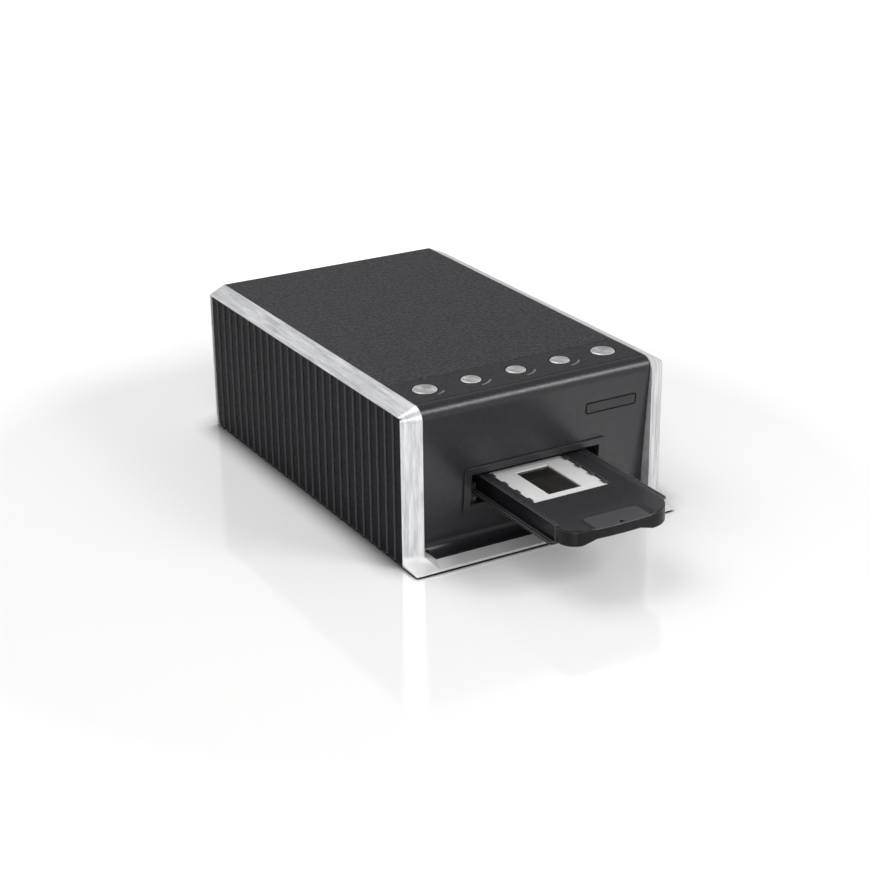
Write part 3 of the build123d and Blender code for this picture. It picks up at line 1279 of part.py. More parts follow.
with BuildPart() as board_screws:
    # under the button board, and on the main board
    for x in boss_xs:
        with BuildSketch(Plane.XY.offset(board_top - BOARD_T)):
            with Locations((x, row_y)):
                Circle(SCREW_R)
        extrude(amount=SCREW_L)
        with BuildSketch(Plane.XY.offset(board_top - BOARD_T)):
            with Locations((x, row_y)):
                Circle(SCREW_HEAD_R)
        extrude(amount=-SCREW_HEAD_H)
    for x, y in standoff_spots:
        with BuildSketch(Plane.XY.offset(board_face)):
            with Locations((x, y)):
                Circle(SCREW_R)
        extrude(amount=-SCREW_L)
        with BuildSketch(Plane.XY.offset(board_face)):
            with Locations((x, y)):
                Circle(SCREW_HEAD_R)
        extrude(amount=SCREW_HEAD_H)

with BuildPart() as power_inlet:
    with BuildSketch(Plane.XZ.offset(-port_rear)):
        with Locations((inlet_x, board_face + INLET_H / 2)):
            Rectangle(INLET_W, INLET_H)
    extrude(amount=INLET_L)
    with BuildSketch(Plane.XZ.offset(-port_rear)):
        with Locations((inlet_x, board_face + INLET_H / 2)):
            Circle(INLET_BORE_R)
            Circle(INLET_PIN_R, mode=Mode.SUBTRACT)
    extrude(amount=INLET_BORE_L, mode=Mode.SUBTRACT)

with BuildPart() as usb_port:
    with BuildSketch(Plane.XZ.offset(-port_rear)):
        with Locations((port_x, board_face + PORT_H / 2)):
            Rectangle(PORT_W, PORT_H)
    extrude(amount=PORT_L)
    with BuildSketch(Plane.XZ.offset(-port_rear)):
        with Locations((port_x, board_face + PORT_H / 2)):
            Rectangle(PORT_MOUTH_W, PORT_MOUTH_H)
            Rectangle(PORT_TONGUE_W, PORT_TONGUE_H, mode=Mode.SUBTRACT)
    extrude(amount=PORT_MOUTH_L, mode=Mode.SUBTRACT)

# ================================================================== one file for each piece
pieces = {
    "left_side_frame": left_side_frame, "right_side_frame": right_side_frame,
    "left_rib_panel": left_rib_panel, "right_rib_panel": right_rib_panel,
    "front_sill": front_sill, "front_panel": front_panel, "slot_surround": slot_surround,
    "badge_plate": badge_plate, "button_panel": button_panel, "top_cover": top_cover,
    "rear_panel": rear_panel, "base_pan": base_pan, "rubber_feet": rubber_feet,
    "case_screws": case_screws, "left_end_button": left_end_button, "left_button": left_button,
    "middle_button": middle_button, "right_button": right_button,
    "right_end_button": right_end_button, "button_board": button_board,
    "button_switches": button_switches, "board_screws": board_screws,
    "holder_base": holder_base, "holder_deck": holder_deck, "slide_mount": slide_mount,
    "film_chip": film_chip, "left_guide_rail": left_guide_rail, "right_guide_rail": right_guide_rail,
    "scan_chassis": scan_chassis, "chassis_screws": chassis_screws, "gear_bracket": gear_bracket,
    "stepper_motor": stepper_motor, "motor_screws": motor_screws, "motor_shaft": motor_shaft,
    "motor_gear": motor_gear, "reduction_pin": reduction_pin, "reduction_gear": reduction_gear,
    "drive_shaft": drive_shaft, "drive_gear": drive_gear, "rack_pinion": rack_pinion,
    "shaft_support": shaft_support, "shaft_bushes": shaft_bushes, "lamp_bridge": lamp_bridge,
    "lamp_housing": lamp_housing, "lamp_board": lamp_board, "lamp_diffuser": lamp_diffuser,
    "mirror_plate": mirror_plate, "mirror_mount": mirror_mount, "lens_mount": lens_mount,
    "lens_barrel": lens_barrel, "lens_glass": lens_glass, "sensor_board": sensor_board,
    "image_sensor": image_sensor, "main_board": main_board, "main_board_chips": main_board_chips,
    "power_inlet": power_inlet, "usb_port": usb_port,
}
for name, piece in pieces.items():
    piece.part.label = name
    export_step(piece.part, f"parts/{name}.step")
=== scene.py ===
import json
from math import atan, cos, pi, radians, sin

import bmesh
import bpy
from mathutils import Matrix, Vector


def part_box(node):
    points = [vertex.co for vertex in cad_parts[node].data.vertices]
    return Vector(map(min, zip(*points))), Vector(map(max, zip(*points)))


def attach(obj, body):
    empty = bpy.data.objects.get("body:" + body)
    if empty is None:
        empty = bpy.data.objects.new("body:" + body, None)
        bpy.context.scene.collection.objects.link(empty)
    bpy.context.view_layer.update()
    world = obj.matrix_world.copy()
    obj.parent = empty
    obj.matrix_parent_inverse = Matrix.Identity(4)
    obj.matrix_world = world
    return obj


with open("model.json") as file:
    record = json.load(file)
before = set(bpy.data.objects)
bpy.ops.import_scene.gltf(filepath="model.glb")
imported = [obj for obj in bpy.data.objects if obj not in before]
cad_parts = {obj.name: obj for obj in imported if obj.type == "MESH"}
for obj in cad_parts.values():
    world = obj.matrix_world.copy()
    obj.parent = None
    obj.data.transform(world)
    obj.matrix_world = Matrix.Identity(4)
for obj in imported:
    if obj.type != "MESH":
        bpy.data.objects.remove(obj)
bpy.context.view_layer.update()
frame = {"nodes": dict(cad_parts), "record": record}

scene = bpy.context.scene
nodes = frame["nodes"]
MM = 0.001

# ------------------------------------------------------------------ places, from the frame
button_low, button_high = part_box("middle_button")
left_button_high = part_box("left_button")[1]
cover_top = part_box("top_cover")[1].z
floor_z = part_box("rubber_feet")[0].z
button_row = (button_low + button_high) / 2
button_pitch = button_high.x - left_button_high.x
deck_low, deck_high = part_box("holder_deck")

# ------------------------------------------------------------------ sizes of the case that the looks follow
LEAN = atan(0.088)      # of the front wall and the badge
SCOOP_D = 1.1 * MM      # depth of the finger scoop
SCOOP_L = 19.0 * MM     # front of the grip back to the scoop's end
ARROW_D = 0.25 * MM     # depth of the triangle sunk in the scoop
ARROW_Y = 3.0 * MM      # front of the grip back to the triangle's middle
ARROW_R = 2.5 * MM
ARROW_T = 0.1 * MM      # thickness of the dark triangle laid in it
BADGE_T = 0.6 * MM
BADGE_R = 1.5 * MM
OUTLINE_W = 0.6 * MM    # outline laid round the badge
OUTLINE_T = 0.06 * MM
OUTLINE_UP = 0.01 * MM  # its underside over the badge's rim
MARK_R = (10.3 * MM, 11.6 * MM)     # arcs beside the buttons, inner and outer radius
MARK_T = 0.03 * MM
MARK_UP = 0.005 * MM    # their underside over the strip
FOOT_Z = 7.0 * MM       # the silver is painted whiter below this, a painted light
FOOT_FADE = 2.5 * MM    # and is whitest this much further down

# ------------------------------------------------------------------ the photograph's camera
CAMERA_PLACE = (-0.55234, -0.96797, 0.47810)
CAMERA_LENS = 79.81
CAMERA_TURN = -29.81    # degrees
CAMERA_DOWN = 22.38
CAMERA_ROLL = -0.67

# ------------------------------------------------------------------ floor and light from all round
FLOOR_HALF = 6.0
PAINTED_SHADOW_REACH = 20 * MM       # the floor is painted darker, a painted shadow, where something stands this close over it
FADE = (0.28, 0.75)     # metres from the object, over which the floor turns white
HORIZON = 0.62          # strength of the world's light, at its sides
OVERHEAD = 0.22


# ------------------------------------------------------------------ camera, as the photograph was taken
def aim_camera():
    """The photograph's viewpoint, found from the edges of the case."""
    camera = bpy.data.objects.new("camera", bpy.data.cameras.new("camera"))
    scene.collection.objects.link(camera)
    camera.data.lens = CAMERA_LENS
    camera.data.sensor_width = 36.0
    camera.data.clip_start = 0.05
    camera.data.clip_end = 30.0
    turn = Matrix.Rotation(radians(CAMERA_TURN), 4, "Z")
    tilt = Matrix.Rotation(radians(90 - CAMERA_DOWN), 4, "X")
    roll = Matrix.Rotation(radians(CAMERA_ROLL), 4, "Z")
    camera.matrix_world = Matrix.Translation(CAMERA_PLACE) @ turn @ tilt @ roll
    scene.camera = camera


# ------------------------------------------------------------------ finishes
class Finish:
    """A material made of the patterns that one of this object's surfaces shows."""

    def __init__(self, name, color, roughness, metallic=0.0):
        self.material = bpy.data.materials.new(name)
        self.material.use_nodes = True
        self.tree = self.material.node_tree
        self.shader = self.tree.nodes["Principled BSDF"]
        self.shader.inputs["Base Color"].default_value = (*color, 1)
        self.shader.inputs["Roughness"].default_value = roughness
        self.shader.inputs["Metallic"].default_value = metallic
        self.relief_end = None

    def node(self, kind, **settings):
        made = self.tree.nodes.new(kind)
        for key, value in settings.items():
            setattr(made, key, value)
        return made

    def link(self, source, target):
        self.tree.links.new(source, target)

    def place(self, stretch=(1, 1, 1), centre=(0, 0, 0)):
        """Object coordinates, moved to a centre and stretched along the axes."""
        mapping = self.node("ShaderNodeMapping")
        mapping.inputs["Scale"].default_value = stretch
        mapping.inputs["Location"].default_value = [-c * s for c, s in zip(centre, stretch)]
        self.link(self.node("ShaderNodeTexCoord").outputs["Object"], mapping.inputs["Vector"])
        return mapping.outputs["Vector"]

    def cloud(self, scale, stretch=(1, 1, 1), detail=4.0, rough=0.55):
        """Soft random pattern, with its scale in features a metre."""
        noise = self.node("ShaderNodeTexNoise")
        noise.inputs["Scale"].default_value = scale
        noise.inputs["Detail"].default_value = detail
        noise.inputs["Roughness"].default_value = rough
        self.link(self.place(stretch), noise.inputs["Vector"])
        return noise.outputs["Fac"]

    def pebbles(self, scale):
        """Rounded cells, as in moulded leather grain."""
        cells = self.node("ShaderNodeTexVoronoi", feature="SMOOTH_F1")
        cells.inputs["Scale"].default_value = scale
        self.link(self.place(), cells.inputs["Vector"])
        return cells.outputs["Distance"]

    def span(self, value, low, high, start=0.3, end=0.7):
        """A pattern brought into a range."""
        spread = self.node("ShaderNodeMapRange")
        spread.inputs["From Min"].default_value = start
        spread.inputs["From Max"].default_value = end
        spread.inputs["To Min"].default_value = low
        spread.inputs["To Max"].default_value = high
        self.link(value, spread.inputs["Value"])
        return spread.outputs["Result"]

    def math(self, operation, first, second=None, third=None):
        """One step of arithmetic on patterns or numbers."""
        step = self.node("ShaderNodeMath", operation=operation)
        for socket, value in zip(step.inputs, (first, second, third)):
            if isinstance(value, (int, float)):
                socket.default_value = value
            elif value is not None:
                self.link(value, socket)
        return step.outputs["Value"]

    def tint(self, value, color, start, end, under=None):
        """Lay a colour where a pattern is high, over a plain colour or over what is there."""
        mix = self.node("ShaderNodeMix", data_type="RGBA")
        first, second = [s for s in mix.inputs if s.type == "RGBA"]
        base = self.shader.inputs["Base Color"]
        if under is None:
            self.link(base.links[0].from_socket, first)
        else:
            first.default_value = (*under, 1)
        second.default_value = (*color, 1)
        self.link(self.span(value, 0, 1, start, end), mix.inputs["Factor"])
        self.link([s for s in mix.outputs if s.type == "RGBA"][0], base)
        return self

    def colors(self, value, dark, light, start=0.3, end=0.7):
        """Base colour between two colours, by a pattern."""
        return self.tint(value, light, start, end, under=dark)

    def axes(self, vector):
        """The three parts of a vector."""
        parts = self.node("ShaderNodeSeparateXYZ")
        self.link(vector, parts.inputs["Vector"])
        return parts.outputs

    def rounded(self, radius):
        """The surface's direction with its edges rounded."""
        edge = self.node("ShaderNodeBevel", samples=6)
        edge.inputs["Radius"].default_value = radius
        return edge.outputs["Normal"]

    def flat(self):
        """The surface's direction as modelled."""
        return self.node("ShaderNodeNewGeometry").outputs["True Normal"]

    def painted_edge_highlight(self, radius, color, start, end):
        """Edges painted a lighter colour as far in as the radius: a painted highlight."""
        turn = self.node("ShaderNodeVectorMath", operation="DOT_PRODUCT")
        self.link(self.rounded(radius), turn.inputs[0])
        self.link(self.flat(), turn.inputs[1])
        return self.tint(self.math("SUBTRACT", 1.0, turn.outputs["Value"]), color, start, end)

    def painted_light_from_above(self, color):
        """Faces that look up are painted a little paler, a painted light from above, broken by a fine
        speckle.
        """
        speck = self.span(self.cloud(900, detail=5, rough=0.7), 0.75, 1.0)
        return self.tint(self.math("MULTIPLY", self.axes(self.flat())["Z"], speck), color, 0.5, 1.0)

    def roughness(self, value, low, high):
        """Roughness between two levels, by a pattern."""
        self.link(self.span(value, low, high), self.shader.inputs["Roughness"])
        return self

    def relief(self, height, depth, strength=1.0):
        """Raise the surface by a pattern, depth in metres."""
        bump = self.node("ShaderNodeBump")
        bump.inputs["Distance"].default_value = depth
        bump.inputs["Strength"].default_value = strength
        self.link(height, bump.inputs["Height"])
        if self.relief_end is not None:
            self.link(self.relief_end, bump.inputs["Normal"])
        self.relief_end = bump.outputs["Normal"]
        self.link(self.relief_end, self.shader.inputs["Normal"])
        return self

    def soft_edges(self, radius):
        """Edges catch the light as if they were rounded."""
        self.relief_end = self.rounded(radius)
        self.link(self.relief_end, self.shader.inputs["Normal"])
        return self

    def shine(self, level):
        """How strongly a surface that isn't metal mirrors."""
        self.shader.inputs["Specular IOR Level"].default_value = level
        return self


def silver_paint(name, along, dark, light):
    """Silver lacquer with streaks along the length of each band."""
    f = Finish(name, (0.74, 0.745, 0.76), 0.34, 0.35)
    streak = f.cloud(190, stretch=along, detail=5, rough=0.7)
    f.soft_edges(0.4 * MM)
    f.colors(streak, dark, light, 0.36, 0.64)
    # painted light: the silver is painted whiter on the foot
    below = f.math("SUBTRACT", FOOT_Z, f.axes(f.place())["Z"])
    f.tint(f.math("MULTIPLY", below, f.span(streak, 0.85, 1.15)), (0.97, 0.97, 0.975), 0, FOOT_FADE)
    f.roughness(f.cloud(110, stretch=along), 0.27, 0.42)
    f.relief(streak, 0.03 * MM, 0.5)
    return f.relief(f.cloud(1600, detail=3), 0.012 * MM, 0.5)


def side_plastic():
    """Near-black moulded plastic of the ribbed sides, with a painted highlight along each rib's edge."""
    f = Finish("side_plastic", (0.008, 0.0085, 0.0105), 0.5)
    f.soft_edges(0.25 * MM)
    f.colors(f.cloud(60), (0.0065, 0.007, 0.009), (0.010, 0.0105, 0.013))
    # painted highlight: each rib's edge is painted lighter
    f.painted_edge_highlight(1.1 * MM, (0.14, 0.142, 0.15), 0.01, 0.14)
    f.roughness(f.cloud(400), 0.45, 0.6)
    f.shine(0.10)
    return f.relief(f.cloud(2600, detail=2), 0.02 * MM, 0.4)


def grained_top():
    """Dark grey top with a moulded leather grain."""
    f = Finish("grained_top", (0.03, 0.03, 0.034), 0.5)
    f.soft_edges(0.3 * MM)
    f.colors(f.cloud(520, detail=6, rough=0.7), (0.004, 0.0038, 0.006), (0.046, 0.045, 0.051), 0.38, 0.62)
    f.roughness(f.cloud(500), 0.42, 0.60)
    f.shine(0.32)
    f.relief(f.pebbles(620), 0.35 * MM, 0.8)
    return f.relief(f.cloud(1300, detail=4), 0.14 * MM, 0.6)


def satin_front():
    """Black satin plastic of the front panel and the slot's surround."""
    f = Finish("satin_front", (0.014, 0.0142, 0.017), 0.34)
    f.soft_edges(0.3 * MM)
    f.colors(f.cloud(300, detail=5, rough=0.7), (0.015, 0.0152, 0.018), (0.024, 0.0243, 0.028))
    # painted highlight along the edges
    f.painted_edge_highlight(0.3 * MM, (0.10, 0.10, 0.11), 0.05, 0.4)
    f.roughness(f.cloud(800), 0.29, 0.38)
    f.shine(0.55)
    return f.relief(f.cloud(1500, detail=4), 0.035 * MM, 0.5)


def button_strip():
    """Dark grey strip round the buttons, smoother than the top."""
    f = Finish("button_strip", (0.018, 0.0178, 0.021), 0.5)
    f.soft_edges(0.3 * MM)
    f.colors(f.cloud(420, detail=6, rough=0.7), (0.010, 0.0098, 0.012), (0.027, 0.0268, 0.031), 0.36, 0.64)
    f.roughness(f.cloud(700), 0.44, 0.56)
    f.shine(0.28)
    return f.relief(f.cloud(1500, detail=4), 0.05 * MM, 0.6)


def case_plastic():
    """Matt black plastic of the back and the base."""
    f = Finish("case_plastic", (0.025, 0.025, 0.027), 0.55)
    f.soft_edges(0.3 * MM)
    f.colors(f.cloud(50), (0.020, 0.020, 0.022), (0.030, 0.030, 0.032))
    f.roughness(f.cloud(600), 0.5, 0.62)
    return f.relief(f.cloud(1800, detail=4), 0.05 * MM, 0.5)


def badge_gloss():
    """Smooth dark face of the bare badge plate."""
    f = Finish("badge_gloss", (0.02, 0.02, 0.023), 0.34)
    f.colors(f.cloud(60), (0.017, 0.017, 0.02), (0.021, 0.021, 0.024))
    f.shine(0.5)
    return f.roughness(f.cloud(40, detail=1), 0.33, 0.36)


def foot_rubber():
    """Matt black rubber of the feet."""
    f = Finish("foot_rubber", (0.02, 0.02, 0.02), 0.8)
    f.colors(f.cloud(300), (0.015, 0.015, 0.015), (0.03, 0.03, 0.03))
    f.roughness(f.cloud(900), 0.7, 0.9)
    return f.relief(f.cloud(2400), 0.04 * MM)


def plated_steel(name, color, roughness):
    """Plated or ground steel, or brass, with faint scratches."""
    f = Finish(name, color, roughness, 1.0)
    streak = f.cloud(900, stretch=(1, 12, 12), detail=2)
    f.colors(f.cloud(120), tuple(0.85 * c for c in color), color)
    f.roughness(streak, roughness - 0.08, roughness + 0.12)
    return f.relief(streak, 0.006 * MM, 0.5)


def turned_metal():
    """Turned aluminium of the buttons: fine rings about each button's own centre."""
    f = Finish("turned_metal", (0.72, 0.72, 0.73), 0.3, 1.0)
    f.soft_edges(0.15 * MM)
    centred = f.axes(f.place(centre=button_row))
    across, along = f.math("WRAP", centred["X"], button_pitch / 2, -button_pitch / 2), centred["Y"]
    squares = f.math("ADD", f.math("MULTIPLY", across, across), f.math("MULTIPLY", along, along))
    rings = f.math("SINE", f.math("MULTIPLY", f.math("SQRT", squares), 2 * pi / (0.22 * MM)))
    # the rings stretch each highlight across the face
    around = f.node("ShaderNodeCombineXYZ")
    f.link(f.math("MULTIPLY", along, -1.0), around.inputs["X"])
    f.link(across, around.inputs["Y"])
    f.link(around.outputs["Vector"], f.shader.inputs["Tangent"])
    f.shader.inputs["Anisotropic"].default_value = 0.75
    f.colors(f.cloud(700), (0.62, 0.62, 0.63), (0.80, 0.80, 0.81))
    f.roughness(f.cloud(500), 0.34, 0.46)
    return f.relief(rings, 0.006 * MM, 0.5)


def circuit_board():
    """Green lacquered board with a faint pattern of tracks."""
    f = Finish("circuit_board", (0.02, 0.16, 0.06), 0.35)
    track = f.node("ShaderNodeTexBrick")
    track.inputs["Scale"].default_value = 260
    track.inputs["Mortar Size"].default_value = 0.03
    f.link(f.place(), track.inputs["Vector"])
    f.colors(track.outputs["Fac"], (0.015, 0.13, 0.05), (0.04, 0.24, 0.1), 0, 1)
    return f.roughness(f.cloud(500), 0.3, 0.42)


def moulded(name, color, roughness, vary=0.15):
    """Plain moulded plastic or paint of the inner pieces."""
    f = Finish(name, color, roughness)
    f.colors(f.cloud(150), tuple((1 - vary) * c for c in color), color)
    f.roughness(f.cloud(700), max(0.02, roughness - 0.06), roughness + 0.06)
    return f.relief(f.cloud(2500), 0.02 * MM, 0.4)


def holder_gloss():
    """Smooth black plastic of the slide holder, with painted highlights along its edges and painted light
    on faces that look up and on the scoop.
    """
    f = Finish("holder_gloss", (0.006, 0.006, 0.0075), 0.3)
    f.soft_edges(0.5 * MM)
    f.colors(f.cloud(80), (0.0045, 0.0045, 0.006), (0.0075, 0.0075, 0.009))
    # painted light: faces that look up are painted paler
    f.painted_light_from_above((0.042, 0.042, 0.047))
    # painted light: the scoop's floor is painted paler
    centred = f.axes(f.place(centre=(0, deck_low.y + SCOOP_L, deck_high.z - SCOOP_D)))
    on_floor = f.math("COMPARE", centred["Z"], 0.0, 0.12 * MM)
    ahead = f.math("LESS_THAN", centred["Y"], 0.0)
    f.tint(f.math("MULTIPLY", on_floor, ahead), (0.070, 0.070, 0.076), 0, 1)
    # painted highlight: the edges are painted lighter
    f.painted_edge_highlight(0.9 * MM, (0.24, 0.24, 0.25), 0.03, 0.3)
    f.shine(0.24)
    f.roughness(f.cloud(260, detail=3), 0.26, 0.36)
    return f.relief(f.cloud(500, detail=2), 0.006 * MM, 0.3)


def mount_plastic():
    """White plastic of the slide mount."""
    f = Finish("mount_plastic", (0.84, 0.84, 0.835), 0.45)
    f.soft_edges(0.15 * MM)
    f.colors(f.cloud(150), (0.81, 0.81, 0.805), (0.86, 0.86, 0.855))
    f.roughness(f.cloud(800), 0.4, 0.52)
    return f.relief(f.cloud(2600), 0.01 * MM, 0.5)


def film_base():
    """Dark developed film."""
    f = Finish("film_base", (0.02, 0.018, 0.016), 0.15)
    f.colors(f.cloud(90), (0.012, 0.011, 0.010), (0.03, 0.027, 0.024))
    return f.roughness(f.cloud(400), 0.12, 0.2)


def clear_glass():
    """Glass of the lens."""
    f = Finish("clear_glass", (0.95, 0.97, 0.98), 0.03)
    f.shader.inputs["Transmission Weight"].default_value = 1.0
    f.shader.inputs["IOR"].default_value = 1.5
    return f.roughness(f.cloud(300), 0.02, 0.05)


def silvered_glass():
    """Silvered face of the mirror."""
    f = Finish("silvered_glass", (0.92, 0.93, 0.93), 0.03, 1.0)
    return f.roughness(f.cloud(300), 0.02, 0.05)


def mark_print():
    """Grey print of the small arcs beside the buttons."""
    f = Finish("mark_print", (0.12, 0.12, 0.125), 0.5)
    f.colors(f.cloud(900), (0.09, 0.09, 0.095), (0.22, 0.22, 0.225))
    return f.roughness(f.cloud(900), 0.45, 0.6)


def dark_trim():
    """Nearly black print of the badge's outline and the triangle in the scoop."""
    f = Finish("dark_trim", (0.003, 0.003, 0.004), 0.6)
    f.colors(f.cloud(800), (0.002, 0.002, 0.003), (0.004, 0.004, 0.005))
    f.shine(0.1)
    return f.roughness(f.cloud(900), 0.55, 0.7)


FINISHES = {
    "silver": silver_paint("silver_paint", (3, 0.2, 0.2), (0.53, 0.535, 0.55), (0.87, 0.875, 0.885)),
    # the silver paint again, painted lighter on the sill as painted light
    "silver sill painted lighter": silver_paint("silver_sill_painted_lighter", (0.2, 3, 3), (0.78, 0.785, 0.80), (0.96, 0.965, 0.97)),
    "side_black": side_plastic(),
    "top_grain": grained_top(),
    "front_black": satin_front(),
    "button strip": button_strip(),
    "badge": badge_gloss(),
    "dark trim": dark_trim(),
    "case_black": case_plastic(),
    "foot_rubber": foot_rubber(),
    "screw_steel": plated_steel("screw_steel", (0.5, 0.5, 0.5), 0.35),
    "button_metal": turned_metal(),
    "board_green": circuit_board(),
    "switch_black": moulded("switch_black", (0.02, 0.02, 0.02), 0.5),
    "port_steel": plated_steel("port_steel", (0.6, 0.6, 0.6), 0.25),
    "holder_black": holder_gloss(),
    "mount_white": mount_plastic(),
    "film": film_base(),
    "rail_plastic": moulded("rail_plastic", (0.03, 0.03, 0.03), 0.5),
    "sheet_steel": plated_steel("sheet_steel", (0.55, 0.56, 0.57), 0.4),
    "motor_paint": moulded("motor_paint", (0.04, 0.04, 0.042), 0.35),
    "shaft_steel": plated_steel("shaft_steel", (0.65, 0.65, 0.66), 0.2),
    "gear_white": moulded("gear_white", (0.80, 0.79, 0.74), 0.45, 0.06),
    "brass": plated_steel("turned_brass", (0.72, 0.52, 0.22), 0.28),
    "optics_black": moulded("optics_black", (0.015, 0.015, 0.015), 0.7),
    "diffuser_white": moulded("diffuser_white", (0.88, 0.88, 0.88), 0.6, 0.04),
    "mirror": silvered_glass(),
    "lens_glass": clear_glass(),
    "sensor_black": moulded("sensor_black", (0.04, 0.04, 0.05), 0.2),
}

# nodes with a finish of their own, not that of their slot
OWN_FINISH = {"front_sill": "silver sill painted lighter", "button_panel": "button strip"}


def dress_nodes():
    """Each node of the frame gets its own finish or that of its material slot."""
    for entry in frame["record"]["subparts"]:
        mesh = nodes[entry["node"]].data
        mesh.materials.clear()
        mesh.materials.append(FINISHES[OWN_FINISH.get(entry["node"], entry["material_slot"])].material)


# ------------------------------------------------------------------ pieces added to the frame
def make_object(name, shape, finish):
    """An object with the mesh of a shape, in one finish."""
    mesh = bpy.data.meshes.new(name)
    shape.to_mesh(mesh)
    shape.free()
    mesh.materials.append(finish.material)
    made = bpy.data.objects.new(name, mesh)
    scene.collection.objects.link(made)
    return made


def new_piece(name, shape, finish, body):
    """A mesh piece that rides on a body of the frame."""
    bmesh.ops.recalc_face_normals(shape, faces=shape.faces[:])
    piece = make_object(name, shape, finish)
    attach(piece, body)


def thicken(shape, height):
    """Give flat faces a thickness, upwards."""
    top = bmesh.ops.extrude_face_region(shape, geom=shape.faces[:])["geom"]
    raised = [v for v in top if isinstance(v, bmesh.types.BMVert)]
    bmesh.ops.translate(shape, verts=raised, vec=(0, 0, height))


def badge_outline():
    """Thin dark outline laid on the raised rim of the bare badge plate."""
    low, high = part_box("badge_plate")
    tall = (high.z - low.z - BADGE_T * sin(LEAN)) / cos(LEAN)
    shape = bmesh.new()
    bmesh.ops.create_grid(shape, x_segments=1, y_segments=1, size=0.5)
    bmesh.ops.scale(shape, verts=shape.verts[:], vec=(high.x - low.x, tall, 1))
    bmesh.ops.bevel(shape, geom=shape.verts[:], offset=BADGE_R, segments=6, profile=0.5, affect="VERTICES",
                    material=-1)
    plate = shape.faces[:]
    bmesh.ops.inset_region(shape, faces=plate, thickness=OUTLINE_W, use_boundary=True)
    bmesh.ops.delete(shape, geom=plate, context="FACES")
    thicken(shape, OUTLINE_T)
    bmesh.ops.translate(shape, verts=shape.verts[:], vec=(0, 0, BADGE_T / 2 + OUTLINE_UP))
    upright = Matrix.Rotation(pi / 2 + LEAN, 4, "X")
    bmesh.ops.transform(shape, matrix=Matrix.Translation((low + high) / 2) @ upright, verts=shape.verts[:])
    new_piece("badge_outline", shape, FINISHES["dark trim"], "housing")


def button_marks():
    """Printed arc beside each button but the last, shorter at the first."""
    marks = bmesh.new()
    for spot in range(-2, 2):
        # in radians about the button, nought being to its right
        start, sweep = (-1.35, 0.6) if spot == -2 else (-1.5, 0.95)
        arc = bmesh.new()
        ends = [arc.verts.new((cos(start) * r, sin(start) * r, 0)) for r in MARK_R]
        arc.edges.new(ends)
        bmesh.ops.spin(arc, geom=arc.verts[:] + arc.edges[:], cent=(0, 0, 0), axis=(0, 0, 1), angle=sweep,
                       steps=12)
        thicken(arc, MARK_T)
        middle = (spot * button_pitch, button_row.y, cover_top + MARK_UP)
        bmesh.ops.translate(arc, verts=arc.verts[:], vec=middle)
        made = bpy.data.meshes.new("button_mark")
        arc.to_mesh(made)
        arc.free()
        marks.from_mesh(made)
        bpy.data.meshes.remove(made)
    new_piece("button_marks", marks, mark_print(), "housing")


def scoop_arrow():
    """Dark triangle on the floor of the one sunk in the finger scoop."""
    shape = bmesh.new()
    bmesh.ops.create_cone(shape, cap_ends=True, segments=3, radius1=ARROW_R, radius2=ARROW_R, depth=ARROW_T)
    middle = (0, deck_low.y + ARROW_Y, deck_high.z - SCOOP_D - ARROW_D + ARROW_T / 2)
    bmesh.ops.translate(shape, verts=shape.verts[:], vec=middle)
    new_piece("scoop_arrow", shape, FINISHES["dark trim"], "holder")


# ------------------------------------------------------------------ floor, backdrop and light
def lay_floor():
    """White floor with the object's soft shadow, painted darker close under the object, and a faint
    reflection.
    """
    shape = bmesh.new()
    bmesh.ops.create_grid(shape, x_segments=1, y_segments=1, size=FLOOR_HALF)
    bmesh.ops.translate(shape, verts=shape.verts[:], vec=(0, 0, floor_z))
    f = Finish("floor_white", (0.86, 0.86, 0.86), 0.08)
    f.shader.inputs["IOR"].default_value = 2.0
    f.roughness(f.cloud(8), 0.07, 0.11)
    # painted shadow: the floor is painted darker where something stands close over it
    near = f.node("ShaderNodeAmbientOcclusion", samples=8)
    near.inputs["Distance"].default_value = PAINTED_SHADOW_REACH
    f.colors(near.outputs["AO"], (0.02, 0.02, 0.02), (0.88, 0.88, 0.875), 0.45, 0.97)
    open_floor = f.span(near.outputs["AO"], 0, 1, 0.45, 0.97)
    # beyond the object's shadow the floor runs into the white background
    away = f.node("ShaderNodeVectorMath", operation="LENGTH")
    f.link(f.place(centre=(-0.05, -0.05, 0)), away.inputs[0])
    rays = f.node("ShaderNodeLightPath")
    seen = f.math("MAXIMUM", rays.outputs["Is Camera Ray"], rays.outputs["Is Transmission Ray"])
    white = f.math("MULTIPLY", open_floor, f.span(away.outputs["Value"], 0.2, 1.0, *FADE))
    f.link(f.math("MULTIPLY", seen, white), f.shader.inputs["Emission Strength"])
    f.shader.inputs["Emission Color"].default_value = (1, 1, 1, 1)
    floor = make_object("floor", shape, f)


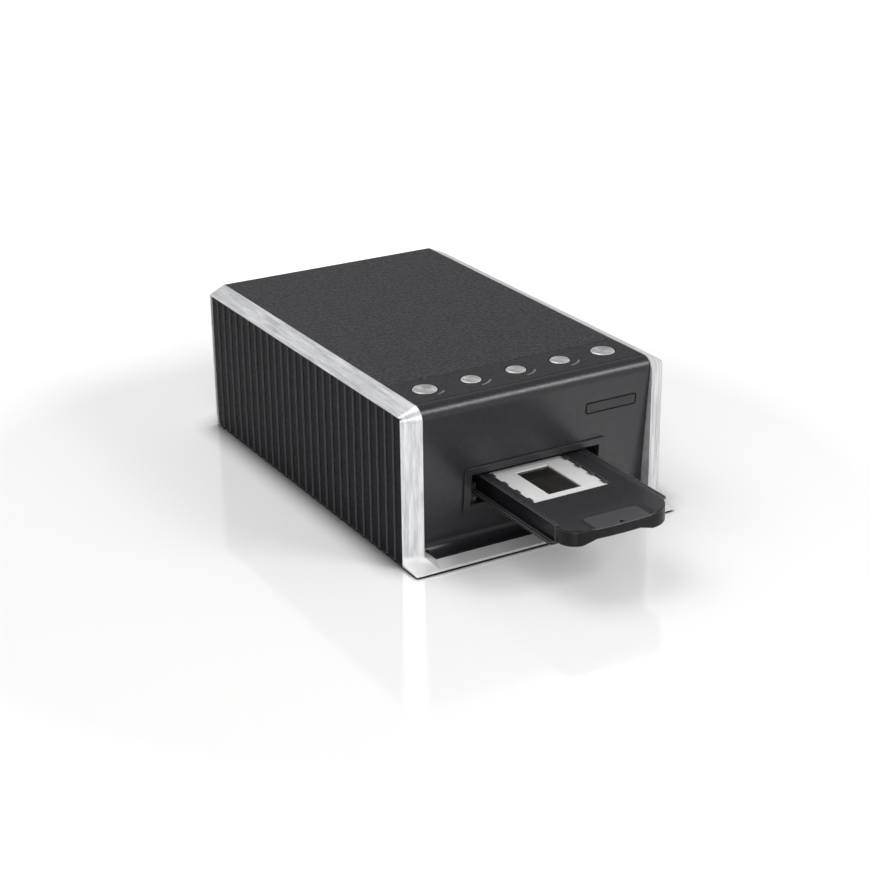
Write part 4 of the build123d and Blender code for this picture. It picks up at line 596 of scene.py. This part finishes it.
def light_world():
    """Soft light from all round, weaker from above, that is seen as white."""
    world = bpy.data.worlds.new("studio")
    scene.world = world
    world.use_nodes = True
    tree = world.node_tree
    make, link = tree.nodes.new, tree.links.new
    light = tree.nodes["Background"]
    light.inputs["Color"].default_value = (1, 1, 1, 1)
    aim = make("ShaderNodeSeparateXYZ")
    link(make("ShaderNodeTexCoord").outputs["Generated"], aim.inputs["Vector"])
    fade = make("ShaderNodeMapRange")
    fade.inputs["To Min"].default_value = HORIZON
    fade.inputs["To Max"].default_value = OVERHEAD
    link(aim.outputs["Z"], fade.inputs["Value"])
    link(fade.outputs["Result"], light.inputs["Strength"])
    seen = make("ShaderNodeBackground")
    seen.inputs["Color"].default_value = (1, 1, 1, 1)
    seen.inputs["Strength"].default_value = 1.0
    rays = make("ShaderNodeLightPath")
    either = make("ShaderNodeMath")
    either.operation = "ADD"
    either.use_clamp = True
    link(rays.outputs["Is Camera Ray"], either.inputs[0])
    link(rays.outputs["Is Transmission Ray"], either.inputs[1])
    mix = make("ShaderNodeMixShader")
    link(either.outputs[0], mix.inputs["Fac"])
    link(light.outputs[0], mix.inputs[1])
    link(seen.outputs[0], mix.inputs[2])
    link(mix.outputs[0], tree.nodes["World Output"].inputs["Surface"])


def softbox(name, place, target, width, height, watts):
    """A rectangular studio light that faces its target."""
    lamp = bpy.data.lights.new(name, "AREA")
    lamp.shape = "RECTANGLE"
    lamp.size = width
    lamp.size_y = height
    lamp.energy = watts
    box = bpy.data.objects.new(name, lamp)
    scene.collection.objects.link(box)
    box.location = place
    box.rotation_euler = (Vector(target) - Vector(place)).to_track_quat("-Z", "Y").to_euler()


def light_object():
    """Three large soft lights: overhead, ahead to the right, and ahead to the left."""
    softbox("overhead", (-0.35, 0.35, 1.25), (0, 0, 0), 1.0, 1.0, 7.5)
    softbox("key", (0.68, -0.98, 0.86), (0, -0.1, 0.05), 0.5, 0.45, 7.5)
    softbox("front_left", (-0.8, -1.6, 0.8), (0, 0, 0.05), 0.9, 0.7, 8)


# ------------------------------------------------------------------ the scene
scene.view_settings.view_transform = "Standard"
aim_camera()
lay_floor()
light_world()
light_object()
dress_nodes()
badge_outline()
button_marks()
scoop_arrow()
